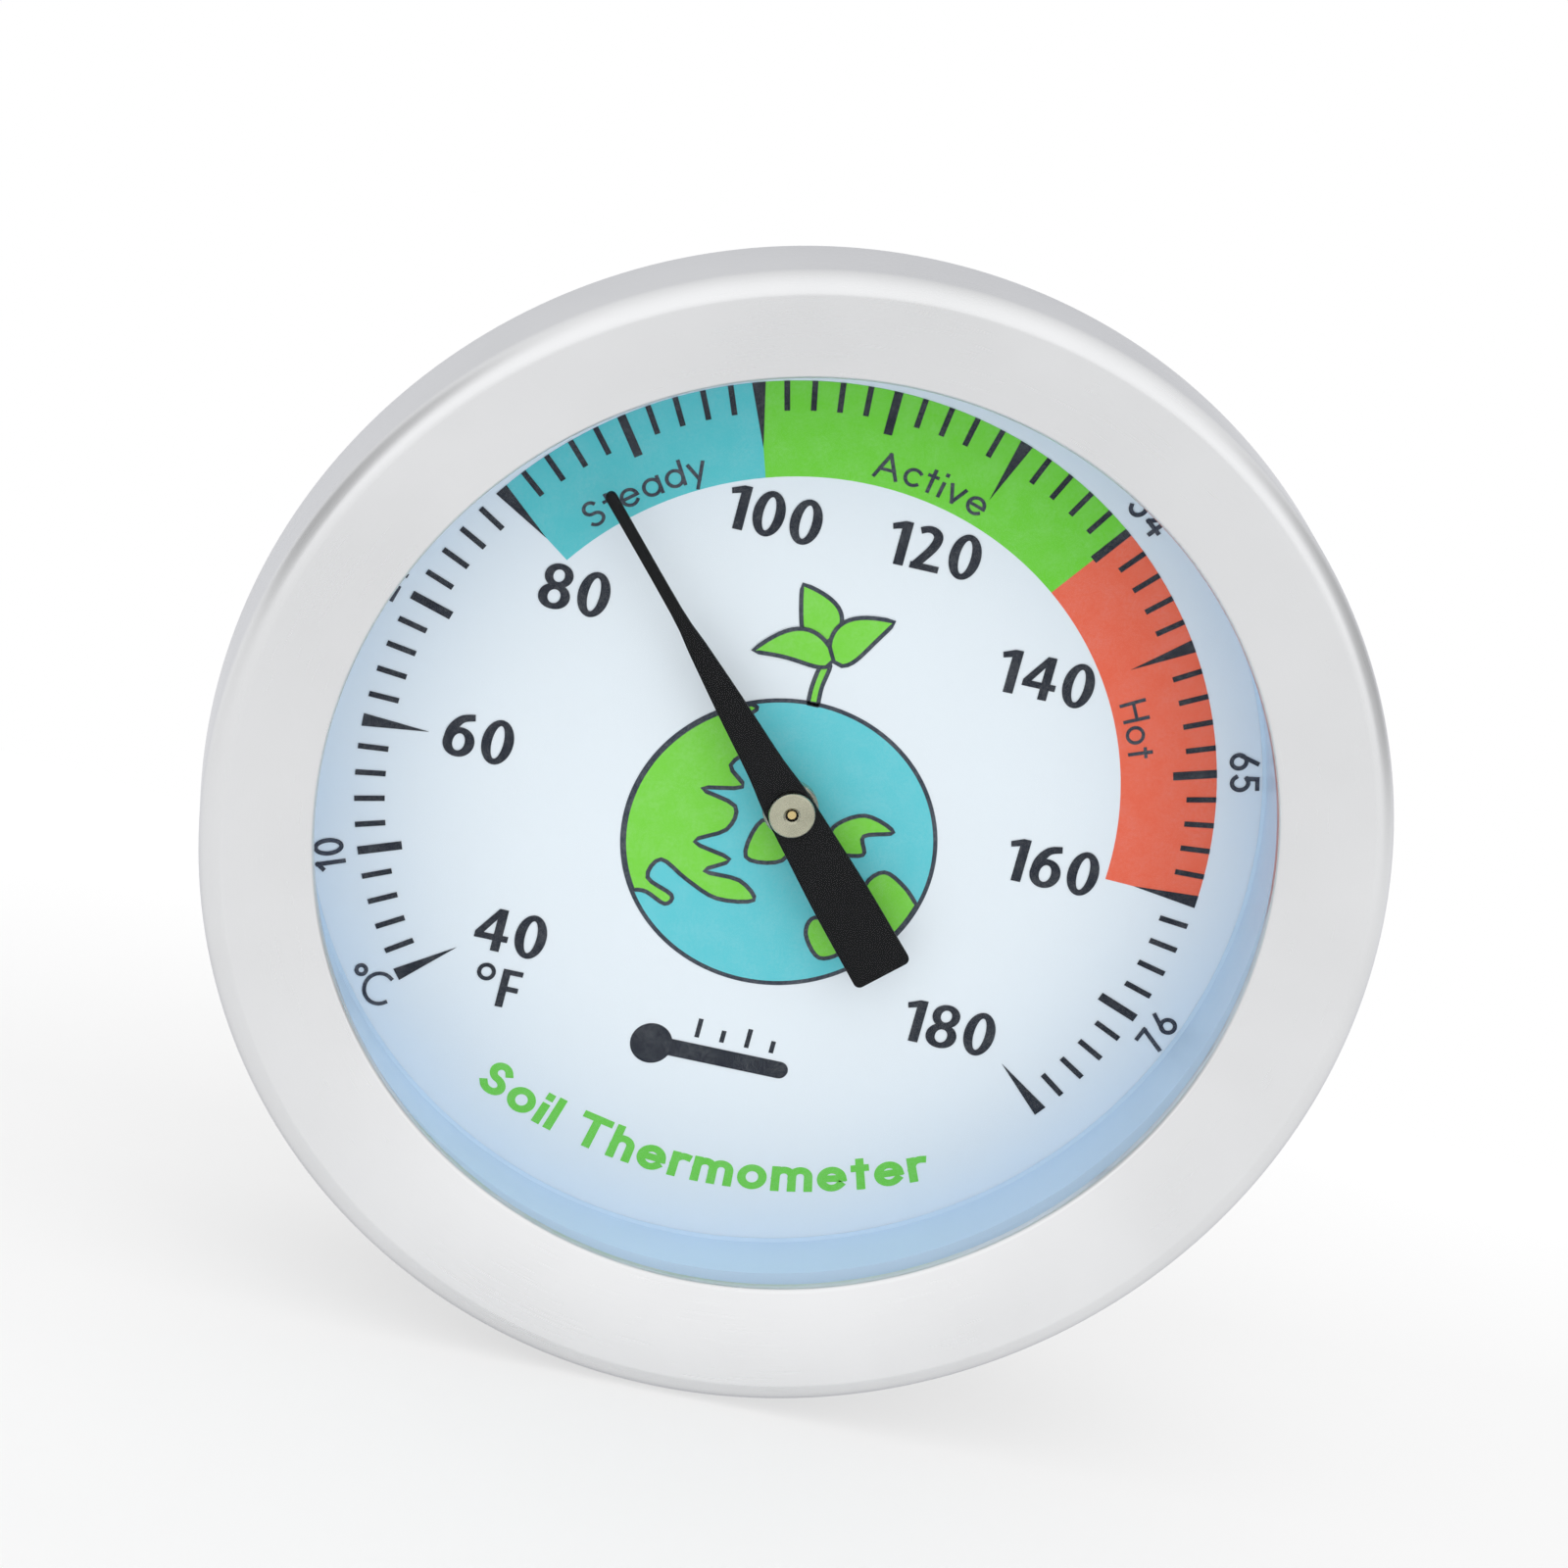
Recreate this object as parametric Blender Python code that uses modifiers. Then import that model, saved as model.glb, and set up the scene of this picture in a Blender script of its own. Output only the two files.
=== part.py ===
"""Soil thermometer probe: a round dial head on a long pointed stem that is pushed into soil or compost.

Row frame, metres: the dial faces -Y, the stem runs along +Y, and +Z is up through the dial's middle mark.
The origin is on the stem's axis, in the rear face of the hex nut.
Every piece is modelled in the dial's own frame: x to the right, y up, z out of the dial's face, z = 0 on
the printed face. One parent empty per moving body carries that frame into the row frame.
"""

import math

import bmesh
import bpy

MM = 0.001

# Driving dimensions of the head, heights measured from the printed face of the dial
BEZEL_RADIUS = 27.0 * MM  # a nominal two-inch dial
BEZEL_OPENING = 21.85 * MM
BEZEL_FRONT = 8.2 * MM
BEZEL_BACK = 2.1 * MM
BEZEL_SHEET = 0.6 * MM
BEZEL_ROUND = 1.0 * MM
BEZEL_REAR_ROUND = 1.1 * MM
BEZEL_DISH = 1.6 * MM  # how far the front slopes back from its crest to the opening
BEZEL_LIP_OPENING = 25.0 * MM
INNER_EDGE_ROUND = 0.3 * MM
LENS_RADIUS = 26.0 * MM
LENS_THICKNESS = 1.5 * MM
LENS_BACK = 4.2 * MM
GASKET_THICKNESS = 0.3 * MM
GASKET_OPENING = 23.2 * MM
CASE_RADIUS = 24.2 * MM
CASE_SHEET = 0.6 * MM
CASE_BACK = -7.1 * MM
CASE_CORNER = 2.0 * MM
CASE_LIP_RADIUS = 26.1 * MM
CASE_LIP_FRONT = 3.5 * MM
DIAL_RADIUS = 23.3 * MM
DIAL_SHEET = 0.5 * MM
DIAL_HOLE = 1.0 * MM
SPACER_OPENING = 22.3 * MM
SPACER_LIP = 0.6 * MM  # thickness of the lip that stands up inside the gasket
SUPPORT_RADIUS = 21.9 * MM  # inside the case's rounded corner
SUPPORT_OPENING = 20.4 * MM

# Pointer, turning over the dial
POINTER_TOP = 2.1 * MM
POINTER_SHEET = 0.3 * MM
POINTER_REST_DEG = 132.55  # anticlockwise from the dial's right: 86.8 on the Fahrenheit scale
POINTER_TIP = 17.64 * MM
POINTER_TAIL = -9.2 * MM
POINTER_HALF_WIDTHS = (  # distance from the axis towards the tip, half the width there
    (17.3 * MM, 0.27 * MM),
    (11.2 * MM, 0.28 * MM),
    (9.1 * MM, 0.45 * MM),
    (6.0 * MM, 0.68 * MM),
    (2.6 * MM, 0.88 * MM),
    (0.7 * MM, 1.10 * MM),
    (-1.9 * MM, 1.23 * MM),
    (-5.0 * MM, 1.37 * MM),
    (-8.9 * MM, 1.43 * MM),
)
TAIL_CORNER = 0.3 * MM
HUB_TOP = 2.46 * MM
HUB_RADIUS = 1.08 * MM
HUB_NECK = 0.55 * MM
HUB_FLANGE_RADIUS = 1.3 * MM
HUB_FLANGE_BOTTOM = 1.1 * MM
HUB_BORE = 0.3 * MM
PIVOT_RADIUS = 0.2 * MM
PIVOT_TOP = 2.3 * MM
SHAFT_RADIUS = 0.6 * MM
SHAFT_SHOULDER = 0.8 * MM

# Stem, distances measured along it from the rear face of the hex nut
DIAL_TO_NUT = 14.3 * MM
STEM_LENGTH = 508 * MM  # 20 in
STEM_RADIUS = 3.175 * MM  # 1/4 in tube
STEM_WALL = 0.5 * MM
STEM_TOP = -9.4 * MM
TIP_LENGTH = 12 * MM
TIP_NOSE = 0.35 * MM
TIP_SPIGOT = 6 * MM
NUT_FLATS = 14 * MM
NUT_THICKNESS = 6 * MM
NUT_CHAMFER = 0.9 * MM
SEAL_RADIUS = 6.8 * MM
SEAL_THICKNESS = 0.5 * MM
NECK_RADIUS = 4.5 * MM
NECK_FLANGE_RADIUS = 7.0 * MM
NECK_FLANGE_THICKNESS = 1.2 * MM
NECK_END = 1.5 * MM
WAVE_SHEET = 0.25 * MM
WAVE_HEIGHT = 0.1 * MM
GUIDE_LENGTH = 4 * MM
GUIDE_STARTS = (-9.0 * MM, 205 * MM, 412 * MM)
COLLAR_START = 420 * MM
COLLAR_LENGTH = 8 * MM
COIL_START = 423 * MM
COIL_TURNS = 18
COIL_PITCH = 2.9 * MM
COIL_RADIUS = 2.3 * MM
COIL_STRIP = 0.25 * MM
COIL_STRIP_WIDTH = 1.9 * MM
ANCHOR_LENGTH = 5 * MM

# Gaps between neighbouring pieces
GAP = 0.3 * MM
SMALL_GAP = 0.2 * MM
RUNNING_GAP = 0.06 * MM

LARGE_STEPS = 64
SMALL_STEPS = 32
COIL_STEPS = 12

for old in list(bpy.data.objects):
    bpy.data.objects.remove(old)

parts = bpy.data.collections.new("soil_thermometer_probe")
cutters = bpy.data.collections.new("cutters")
bpy.context.scene.collection.children.link(parts)
bpy.context.scene.collection.children.link(cutters)


def body_empty(name):
    """The dial's frame: local z points out of the dial, along the row's -Y."""
    empty = bpy.data.objects.new(name, None)
    empty.empty_display_size = 0.02
    empty.location = (0, -DIAL_TO_NUT, 0)
    empty.rotation_euler = (math.radians(90), 0, 0)
    parts.objects.link(empty)
    return empty


stem_body = body_empty("stem_axis")
head_body = body_empty("calibration_axis")
pointer_body = body_empty("pointer_axis")


def finish(name, colour, metallic, roughness):
    material = bpy.data.materials.new(name)
    material.use_nodes = True
    shader = material.node_tree.nodes["Principled BSDF"]
    shader.inputs["Base Color"].default_value = (*colour, 1)
    shader.inputs["Metallic"].default_value = metallic
    shader.inputs["Roughness"].default_value = roughness
    return material


stainless = finish("satin_stainless", (0.66, 0.67, 0.69), 1.0, 0.32)
bright_tube = finish("stem_stainless", (0.62, 0.63, 0.65), 1.0, 0.22)
glass = finish("clear_glass", (0.85, 0.93, 1.0), 0.0, 0.03)
black_rubber = finish("black_rubber", (0.02, 0.02, 0.022), 0.0, 0.7)
white_enamel = finish("dial_enamel", (0.76, 0.83, 0.90), 0.0, 0.45)
pale_plastic = finish("pale_plastic", (0.62, 0.70, 0.80), 0.0, 0.5)
black_paint = finish("black_paint", (0.012, 0.012, 0.014), 0.0, 0.4)
nickel = finish("nickel", (0.62, 0.60, 0.52), 1.0, 0.28)
brass = finish("brass", (0.72, 0.55, 0.25), 1.0, 0.3)
nylon = finish("white_nylon", (0.80, 0.79, 0.74), 0.0, 0.5)
bimetal = finish("bimetal_strip", (0.55, 0.50, 0.44), 1.0, 0.35)
spring_steel = finish("spring_steel", (0.45, 0.46, 0.48), 1.0, 0.3)


def add_object(name, data, parent, material, collection=parts):
    piece = bpy.data.objects.new(name, data)
    collection.objects.link(piece)
    piece.parent = parent
    if material:
        data.materials.append(material)
    return piece


def arc(centre_r, centre_z, radius, start_deg, end_deg, count):
    """Points of a fillet in a turned profile, count steps from start to end."""
    points = []
    for i in range(count + 1):
        angle = math.radians(start_deg + (end_deg - start_deg) * i / count)
        points.append((centre_r + radius * math.cos(angle), centre_z + radius * math.sin(angle)))
    return points


def turned(name, profile, parent, material, steps, closed=True, collection=parts):
    """A profile of (radius, height) points turned about local z, running down its outer side.

    A closed profile makes a ring or a tube, and an open one starts and ends on the axis.
    """
    mesh = bpy.data.meshes.new(name)
    edges = [(i, i + 1) for i in range(len(profile) - 1)]
    if closed:
        edges.append((len(profile) - 1, 0))
    mesh.from_pydata([(r, 0, z) for r, z in profile], edges, [])
    piece = add_object(name, mesh, parent, material, collection)
    screw = piece.modifiers.new("turn", "SCREW")
    screw.axis = "Z"
    screw.steps = steps
    screw.render_steps = steps
    screw.use_merge_vertices = True
    screw.merge_threshold = 0.000001
    screw.use_smooth_shade = True
    return piece


def washer(name, outer, inner, top, bottom, parent, material, steps):
    """A plain ring of rectangular section."""
    profile = [(outer, top), (outer, bottom), (inner, bottom), (inner, top)]
    return turned(name, profile, parent, material, steps)


def along_stem(distance):
    """Local height of a point this far along the stem from the nut's rear face."""
    return -DIAL_TO_NUT - distance


# Head: turns on the neck for recalibration

def make_bezel():
    """A channel of sheet steel rolled over the lens and the case lip, its front dished towards the lens."""
    wall = BEZEL_RADIUS - BEZEL_SHEET
    crest_r = BEZEL_RADIUS - BEZEL_ROUND
    opening_z = BEZEL_FRONT - BEZEL_DISH
    profile = arc(crest_r, BEZEL_FRONT - BEZEL_ROUND, BEZEL_ROUND, 90, 0, 5)
    rear_r = BEZEL_RADIUS - BEZEL_REAR_ROUND
    profile += arc(rear_r, BEZEL_BACK + BEZEL_REAR_ROUND, BEZEL_REAR_ROUND, 0, -90, 4)
    profile += [
        (BEZEL_LIP_OPENING, BEZEL_BACK),
        (BEZEL_LIP_OPENING, BEZEL_BACK + BEZEL_SHEET),
        (rear_r, BEZEL_BACK + BEZEL_SHEET),
        (wall, BEZEL_BACK + BEZEL_REAR_ROUND),
        (wall, BEZEL_FRONT - BEZEL_ROUND),
        (crest_r, BEZEL_FRONT - BEZEL_SHEET),
        (BEZEL_OPENING, opening_z - BEZEL_SHEET),
    ]
    edge_z = opening_z - INNER_EDGE_ROUND
    profile += arc(BEZEL_OPENING + INNER_EDGE_ROUND, edge_z, INNER_EDGE_ROUND, 180, 90, 3)
    return turned("bezel_ring", profile, head_body, stainless, LARGE_STEPS)


def make_lens():
    front = LENS_BACK + LENS_THICKNESS
    profile = [(0, front), (LENS_RADIUS, front), (LENS_RADIUS, LENS_BACK), (0, LENS_BACK)]
    return turned("lens", profile, head_body, glass, LARGE_STEPS, closed=False)


def make_gasket():
    top = LENS_BACK - SMALL_GAP
    bottom = top - GASKET_THICKNESS
    return washer(
        "lens_gasket", LENS_RADIUS, GASKET_OPENING, top, bottom, head_body, black_rubber, LARGE_STEPS
    )


def make_case():
    inside = CASE_RADIUS - CASE_SHEET
    corner_z = CASE_BACK + CASE_CORNER
    corner_r = CASE_RADIUS - CASE_CORNER
    hole = NECK_RADIUS + RUNNING_GAP
    profile = [
        (CASE_LIP_RADIUS, CASE_LIP_FRONT),
        (CASE_LIP_RADIUS, CASE_LIP_FRONT - CASE_SHEET),
        (CASE_RADIUS, CASE_LIP_FRONT - CASE_SHEET),
    ]
    profile += arc(corner_r, corner_z, CASE_CORNER, 0, -90, 5)
    profile += [(hole, CASE_BACK), (hole, CASE_BACK + CASE_SHEET)]
    profile += arc(corner_r, corner_z, CASE_CORNER - CASE_SHEET, -90, 0, 4)
    profile.append((inside, CASE_LIP_FRONT))
    return turned("case_cup", profile, head_body, stainless, LARGE_STEPS)


def make_dial():
    return washer(
        "dial_plate", DIAL_RADIUS, DIAL_HOLE, 0, -DIAL_SHEET, head_body, white_enamel, LARGE_STEPS
    )


def make_dial_rings():
    """The wall between dial and lens, whose lip hides the gasket, and the ring that carries the dial."""
    lip_r = SPACER_OPENING + SPACER_LIP
    lip_top = LENS_BACK - SMALL_GAP
    spacer = [
        (lip_r, lip_top),
        (lip_r, CASE_LIP_FRONT),
        (DIAL_RADIUS, CASE_LIP_FRONT),
        (DIAL_RADIUS, GAP),
        (SPACER_OPENING, GAP),
        (SPACER_OPENING, lip_top),
    ]
    turned("spacer_ring", spacer, head_body, pale_plastic, LARGE_STEPS)
    washer(
        "dial_support_ring", SUPPORT_RADIUS, SUPPORT_OPENING, -DIAL_SHEET - GAP,
        CASE_BACK + CASE_SHEET + GAP, head_body, pale_plastic, LARGE_STEPS,
    )


# Pointer body: the needle, its hub, the long shaft and the collar on the coil's upper end

def pointer_outline():
    """Outline of the needle along local +x, counter-clockwise, with a round tip and a square tail."""
    side = list(POINTER_HALF_WIDTHS)
    tip_x, tip_half = side[0]
    tail_half = side[-1][1]
    corner_x = POINTER_TAIL + TAIL_CORNER
    upper = arc(tip_x, 0, tip_half, 0, 90, 4)[:-1]
    upper[0] = (POINTER_TIP, 0)
    upper += side[:-1]
    upper += arc(corner_x, tail_half - TAIL_CORNER, TAIL_CORNER, 90, 180, 3)
    lower = [(x, -y) for x, y in reversed(upper) if y > 0]
    return upper + lower


def circle_points(radius, count):
    return [
        (radius * math.cos(2 * math.pi * i / count), radius * math.sin(2 * math.pi * i / count))
        for i in range(count)
    ]


def make_pointer():
    curve = bpy.data.curves.new("pointer", "CURVE")
    curve.dimensions = "2D"
    curve.fill_mode = "BOTH"
    curve.extrude = POINTER_SHEET / 2
    for outline in (pointer_outline(), circle_points(HUB_NECK + 0.75 * SMALL_GAP, SMALL_STEPS)):
        spline = curve.splines.new("POLY")
        spline.points.add(len(outline) - 1)
        spline.use_cyclic_u = True
        for point, (x, y) in zip(spline.points, outline):
            point.co = (x, y, 0, 1)
    piece = add_object("pointer", curve, pointer_body, black_paint)
    piece.location = (0, 0, POINTER_TOP - POINTER_SHEET / 2)
    piece.rotation_euler = (0, 0, math.radians(POINTER_REST_DEG))
    return piece


def make_hub():
    under_pointer = POINTER_TOP - POINTER_SHEET - SMALL_GAP / 2
    over_pointer = POINTER_TOP + SMALL_GAP / 2
    profile = [
        (HUB_RADIUS, HUB_TOP),
        (HUB_RADIUS, over_pointer),
        (HUB_NECK, over_pointer),
        (HUB_NECK, under_pointer),
        (HUB_FLANGE_RADIUS, under_pointer),
        (HUB_FLANGE_RADIUS, HUB_FLANGE_BOTTOM),
        (HUB_BORE, HUB_FLANGE_BOTTOM),
        (HUB_BORE, HUB_TOP),
    ]
    return turned("pointer_hub", profile, pointer_body, nickel, SMALL_STEPS)


def make_shaft():
    end = along_stem(COLLAR_START + COLLAR_LENGTH - 2 * SHAFT_RADIUS)
    profile = [
        (0, PIVOT_TOP),
        (PIVOT_RADIUS, PIVOT_TOP),
        (PIVOT_RADIUS, SHAFT_SHOULDER),
        (SHAFT_RADIUS, SHAFT_SHOULDER),
        (SHAFT_RADIUS, end),
        (0, end),
    ]
    return turned("pointer_shaft", profile, pointer_body, brass, SMALL_STEPS, closed=False)


def make_coil_collar():
    top = along_stem(COLLAR_START)
    outer = COIL_RADIUS - COIL_STRIP - GAP
    return washer(
        "coil_collar", outer, SHAFT_RADIUS + SMALL_GAP / 2, top, top - COLLAR_LENGTH,
        pointer_body, brass, SMALL_STEPS,
    )


# Stem body: the tube and its fittings, held by the soil

def make_nut():
    """A hexagon with its corners chamfered on both faces, bored for the neck."""
    middle = along_stem(-NUT_THICKNESS / 2)
    mesh = bpy.data.meshes.new("hex_nut")
    hexagon = bmesh.new()
    corner = NUT_FLATS / 2 / math.cos(math.radians(30))
    bmesh.ops.create_cone(
        hexagon, cap_ends=True, segments=6, radius1=corner, radius2=corner, depth=NUT_THICKNESS
    )
    hexagon.to_mesh(mesh)
    hexagon.free()
    nut = add_object("hex_nut", mesh, stem_body, stainless)
    nut.location = (0, 0, middle)
    nut.rotation_euler = (0, 0, math.radians(30))
    front = middle + NUT_THICKNESS / 2 + GAP
    back = middle - NUT_THICKNESS / 2 - GAP
    rise = NUT_CHAMFER * math.tan(math.radians(30)) + GAP
    barrel = turned(
        "nut_barrel",
        [
            (0, front),
            (corner - NUT_CHAMFER - GAP, front),
            (corner + GAP, front - rise - GAP),
            (corner + GAP, back + rise + GAP),
            (corner - NUT_CHAMFER - GAP, back),
            (0, back),
        ],
        stem_body, None, LARGE_STEPS, closed=False, collection=cutters,
    )
    bore_radius = NECK_RADIUS + SMALL_GAP
    bore = turned(
        "nut_bore",
        [(0, front), (bore_radius, front), (bore_radius, back), (0, back)],
        stem_body, None, SMALL_STEPS, closed=False, collection=cutters,
    )
    for cutter, operation in ((barrel, "INTERSECT"), (bore, "DIFFERENCE")):
        cutter.hide_render = True
        cutter.display_type = "WIRE"
        boolean = nut.modifiers.new(cutter.name, "BOOLEAN")
        boolean.object = cutter
        boolean.operation = operation
    return nut


def make_seal_washer():
    top = CASE_BACK - GAP
    return washer(
        "seal_washer", SEAL_RADIUS, NECK_RADIUS + SMALL_GAP, top, top - SEAL_THICKNESS,
        stem_body, black_rubber, SMALL_STEPS,
    )


def make_wave_washer():
    """A thin spring ring with three waves round it, pressing the case against the seal."""
    bottom = CASE_BACK + CASE_SHEET + SMALL_GAP + WAVE_HEIGHT
    inner = NECK_RADIUS + SMALL_GAP
    ring = bmesh.new()
    corners = [
        ring.verts.new((r, 0, z))
        for r, z in (
            (inner, bottom),
            (SEAL_RADIUS, bottom),
            (SEAL_RADIUS, bottom + WAVE_SHEET),
            (inner, bottom + WAVE_SHEET),
        )
    ]
    section = [ring.edges.new((corners[i], corners[(i + 1) % 4])) for i in range(4)]
    bmesh.ops.spin(
        ring, geom=corners + section, cent=(0, 0, 0), axis=(0, 0, 1),
        angle=2 * math.pi, steps=SMALL_STEPS + 4, use_merge=True,
    )
    for vertex in ring.verts:
        vertex.co.z += WAVE_HEIGHT * math.cos(3 * math.atan2(vertex.co.y, vertex.co.x))
    bmesh.ops.recalc_face_normals(ring, faces=ring.faces)
    mesh = bpy.data.meshes.new("wave_washer")
    ring.to_mesh(mesh)
    ring.free()
    return add_object("wave_washer", mesh, stem_body, spring_steel)


def make_neck():
    flange_bottom = CASE_BACK + CASE_SHEET + 2 * SMALL_GAP + 2 * WAVE_HEIGHT + WAVE_SHEET
    flange_top = flange_bottom + NECK_FLANGE_THICKNESS
    bore = STEM_RADIUS + SMALL_GAP
    end = along_stem(NECK_END)
    profile = [
        (NECK_FLANGE_RADIUS, flange_top),
        (NECK_FLANGE_RADIUS, flange_bottom),
        (NECK_RADIUS, flange_bottom),
        (NECK_RADIUS, end),
        (bore, end),
        (bore, flange_top),
    ]
    return turned("stem_neck", profile, stem_body, stainless, LARGE_STEPS)


def make_tube():
    return washer(
        "stem_tube", STEM_RADIUS, STEM_RADIUS - STEM_WALL, along_stem(STEM_TOP),
        along_stem(STEM_LENGTH - TIP_LENGTH), stem_body, bright_tube, SMALL_STEPS,
    )


def make_tip():
    spigot = STEM_RADIUS - STEM_WALL - SMALL_GAP
    shoulder = STEM_LENGTH - TIP_LENGTH + GAP
    spigot_top = along_stem(shoulder - TIP_SPIGOT)
    nose = along_stem(STEM_LENGTH)
    profile = [
        (0, spigot_top),
        (spigot, spigot_top),
        (spigot, along_stem(shoulder)),
        (STEM_RADIUS, along_stem(shoulder)),
        (STEM_RADIUS, along_stem(shoulder + 1 * MM)),
    ]
    profile += arc(0, nose + TIP_NOSE, TIP_NOSE, -15, -90, 4)[:-1]
    profile.append((0, nose))
    return turned("stem_tip", profile, stem_body, stainless, SMALL_STEPS, closed=False)


def make_guides():
    names = ("upper_guide_bush", "middle_guide_bush", "lower_guide_bush")
    outer = STEM_RADIUS - STEM_WALL - SMALL_GAP
    for name, start in zip(names, GUIDE_STARTS):
        washer(
            name, outer, SHAFT_RADIUS + RUNNING_GAP, along_stem(start),
            along_stem(start + GUIDE_LENGTH), stem_body, nylon, SMALL_STEPS,
        )


def make_coil():
    """A flat bimetal strip wound into a helix, its upper end round the collar, its lower round the anchor."""
    start = along_stem(COIL_START)
    strip = bmesh.new()
    inner = COIL_RADIUS - COIL_STRIP
    corners = [
        strip.verts.new((r, 0, z))
        for r, z in (
            (inner, start),
            (inner, start - COIL_STRIP_WIDTH),
            (COIL_RADIUS, start - COIL_STRIP_WIDTH),
            (COIL_RADIUS, start),
        )
    ]
    section = [strip.edges.new((corners[i], corners[(i + 1) % 4])) for i in range(4)]
    steps = COIL_TURNS * COIL_STEPS
    bmesh.ops.spin(
        strip, geom=corners + section, cent=(0, 0, 0), axis=(0, 0, 1),
        dvec=(0, 0, -COIL_PITCH / COIL_STEPS), angle=2 * math.pi * COIL_TURNS, steps=steps,
    )
    bmesh.ops.holes_fill(strip, edges=strip.edges, sides=4)
    bmesh.ops.recalc_face_normals(strip, faces=strip.faces)
    mesh = bpy.data.meshes.new("bimetal_coil")
    strip.to_mesh(mesh)
    strip.free()
    return add_object("bimetal_coil", mesh, stem_body, bimetal)


def make_coil_anchor():
    """The plug that fixes the coil's lower end in the tube."""
    top = COIL_START + COIL_TURNS * COIL_PITCH - COIL_STRIP_WIDTH
    head_top = COIL_START + COIL_TURNS * COIL_PITCH + COIL_STRIP_WIDTH + GAP
    outer = STEM_RADIUS - STEM_WALL - SMALL_GAP
    spigot = COIL_RADIUS - COIL_STRIP - GAP
    profile = [
        (0, along_stem(top)),
        (spigot, along_stem(top)),
        (spigot, along_stem(head_top)),
        (outer, along_stem(head_top)),
        (outer, along_stem(head_top + ANCHOR_LENGTH)),
        (0, along_stem(head_top + ANCHOR_LENGTH)),
    ]
    return turned("coil_anchor", profile, stem_body, brass, SMALL_STEPS, closed=False)


make_bezel()
make_lens()
make_gasket()
make_case()
make_dial()
make_dial_rings()
make_pointer()
make_hub()
make_shaft()
make_coil_collar()
make_nut()
make_seal_washer()
make_wave_washer()
make_neck()
make_tube()
make_tip()
make_guides()
make_coil()
make_coil_anchor()
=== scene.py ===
"""Looks of a soil thermometer probe: the turned steel head, the printed dial under its glass, and the stem.

Row frame, metres: the dial faces -Y, the stem runs along +Y and +Z is up through the dial's middle mark.
Pieces are modelled in the dial's own frame (x right, y up, z out of the printed face) and then moved
into the row frame, so that every finished mesh holds its own place.
"""

import math

import bmesh
import bpy
from mathutils import Matrix, Vector


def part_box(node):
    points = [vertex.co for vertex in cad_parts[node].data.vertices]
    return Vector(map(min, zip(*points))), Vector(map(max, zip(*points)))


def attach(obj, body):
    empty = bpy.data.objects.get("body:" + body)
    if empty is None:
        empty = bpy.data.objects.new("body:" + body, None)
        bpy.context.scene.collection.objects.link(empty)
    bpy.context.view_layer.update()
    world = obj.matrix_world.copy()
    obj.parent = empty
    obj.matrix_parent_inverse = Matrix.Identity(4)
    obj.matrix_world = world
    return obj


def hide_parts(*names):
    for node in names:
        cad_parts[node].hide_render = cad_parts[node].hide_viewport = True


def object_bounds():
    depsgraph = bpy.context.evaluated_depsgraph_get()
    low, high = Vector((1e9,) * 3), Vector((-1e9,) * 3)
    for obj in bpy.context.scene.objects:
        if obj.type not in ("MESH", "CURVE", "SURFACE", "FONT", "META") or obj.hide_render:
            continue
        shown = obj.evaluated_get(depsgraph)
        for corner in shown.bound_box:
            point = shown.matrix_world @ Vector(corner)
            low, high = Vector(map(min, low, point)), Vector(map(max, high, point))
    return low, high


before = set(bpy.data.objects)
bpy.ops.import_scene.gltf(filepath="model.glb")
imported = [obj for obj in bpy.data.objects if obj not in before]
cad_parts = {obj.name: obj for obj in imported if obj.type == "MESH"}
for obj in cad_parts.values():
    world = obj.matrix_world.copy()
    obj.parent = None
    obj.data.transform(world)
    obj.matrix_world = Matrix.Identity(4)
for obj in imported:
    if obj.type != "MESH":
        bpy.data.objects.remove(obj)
cad_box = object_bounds()

MM = 0.001
TURN = 2 * math.pi

# The dial's frame in the row frame
DIAL_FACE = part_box("dial_plate")[0].y
TO_ROW = Matrix.Translation((0, DIAL_FACE, 0)) @ Matrix.Rotation(TURN / 4, 4, "X")

# Fineness of the turned pieces
FINE = 256
MEDIUM = 96

# Head
BEZEL_OPENING = 21.85 * MM
BEZEL_SHEET = 0.6 * MM
BEZEL_ROUND = 1.0 * MM
BEZEL_REAR_ROUND = 1.1 * MM
BEZEL_DISH = 1.6 * MM
BEZEL_LIP = 2.0 * MM
INNER_EDGE_ROUND = 0.3 * MM
GASKET_OPENING = 23.2 * MM
SPACER_OPENING = 22.3 * MM
SPACER_LIP = 0.6 * MM
SPACER_FOOT = 0.16 * MM
SPACER_BEVEL = 0.4 * MM
SEAT = 0.03 * MM
LENS_EDGE = 0.25 * MM
GASKET_EDGE = 0.06 * MM
DIAL_HOLE = 1.0 * MM
CASE_RADIUS = 24.2 * MM
CASE_SHEET = 0.6 * MM
CASE_CORNER = 2.0 * MM
CASE_BEAD = 14.5 * MM
CASE_BEAD_DEPTH = 0.45 * MM
CASE_BEAD_FOOT = 0.9 * MM
CASE_BEAD_CREST = 0.3 * MM
CASE_BEAD_BEND = 0.2 * MM
CASE_FLANGE_BEND = 0.3 * MM
CASE_HOLE_INSIDE_NECK_FLANGE = 2.44 * MM
EDGE_BREAK = 0.12 * MM

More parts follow.
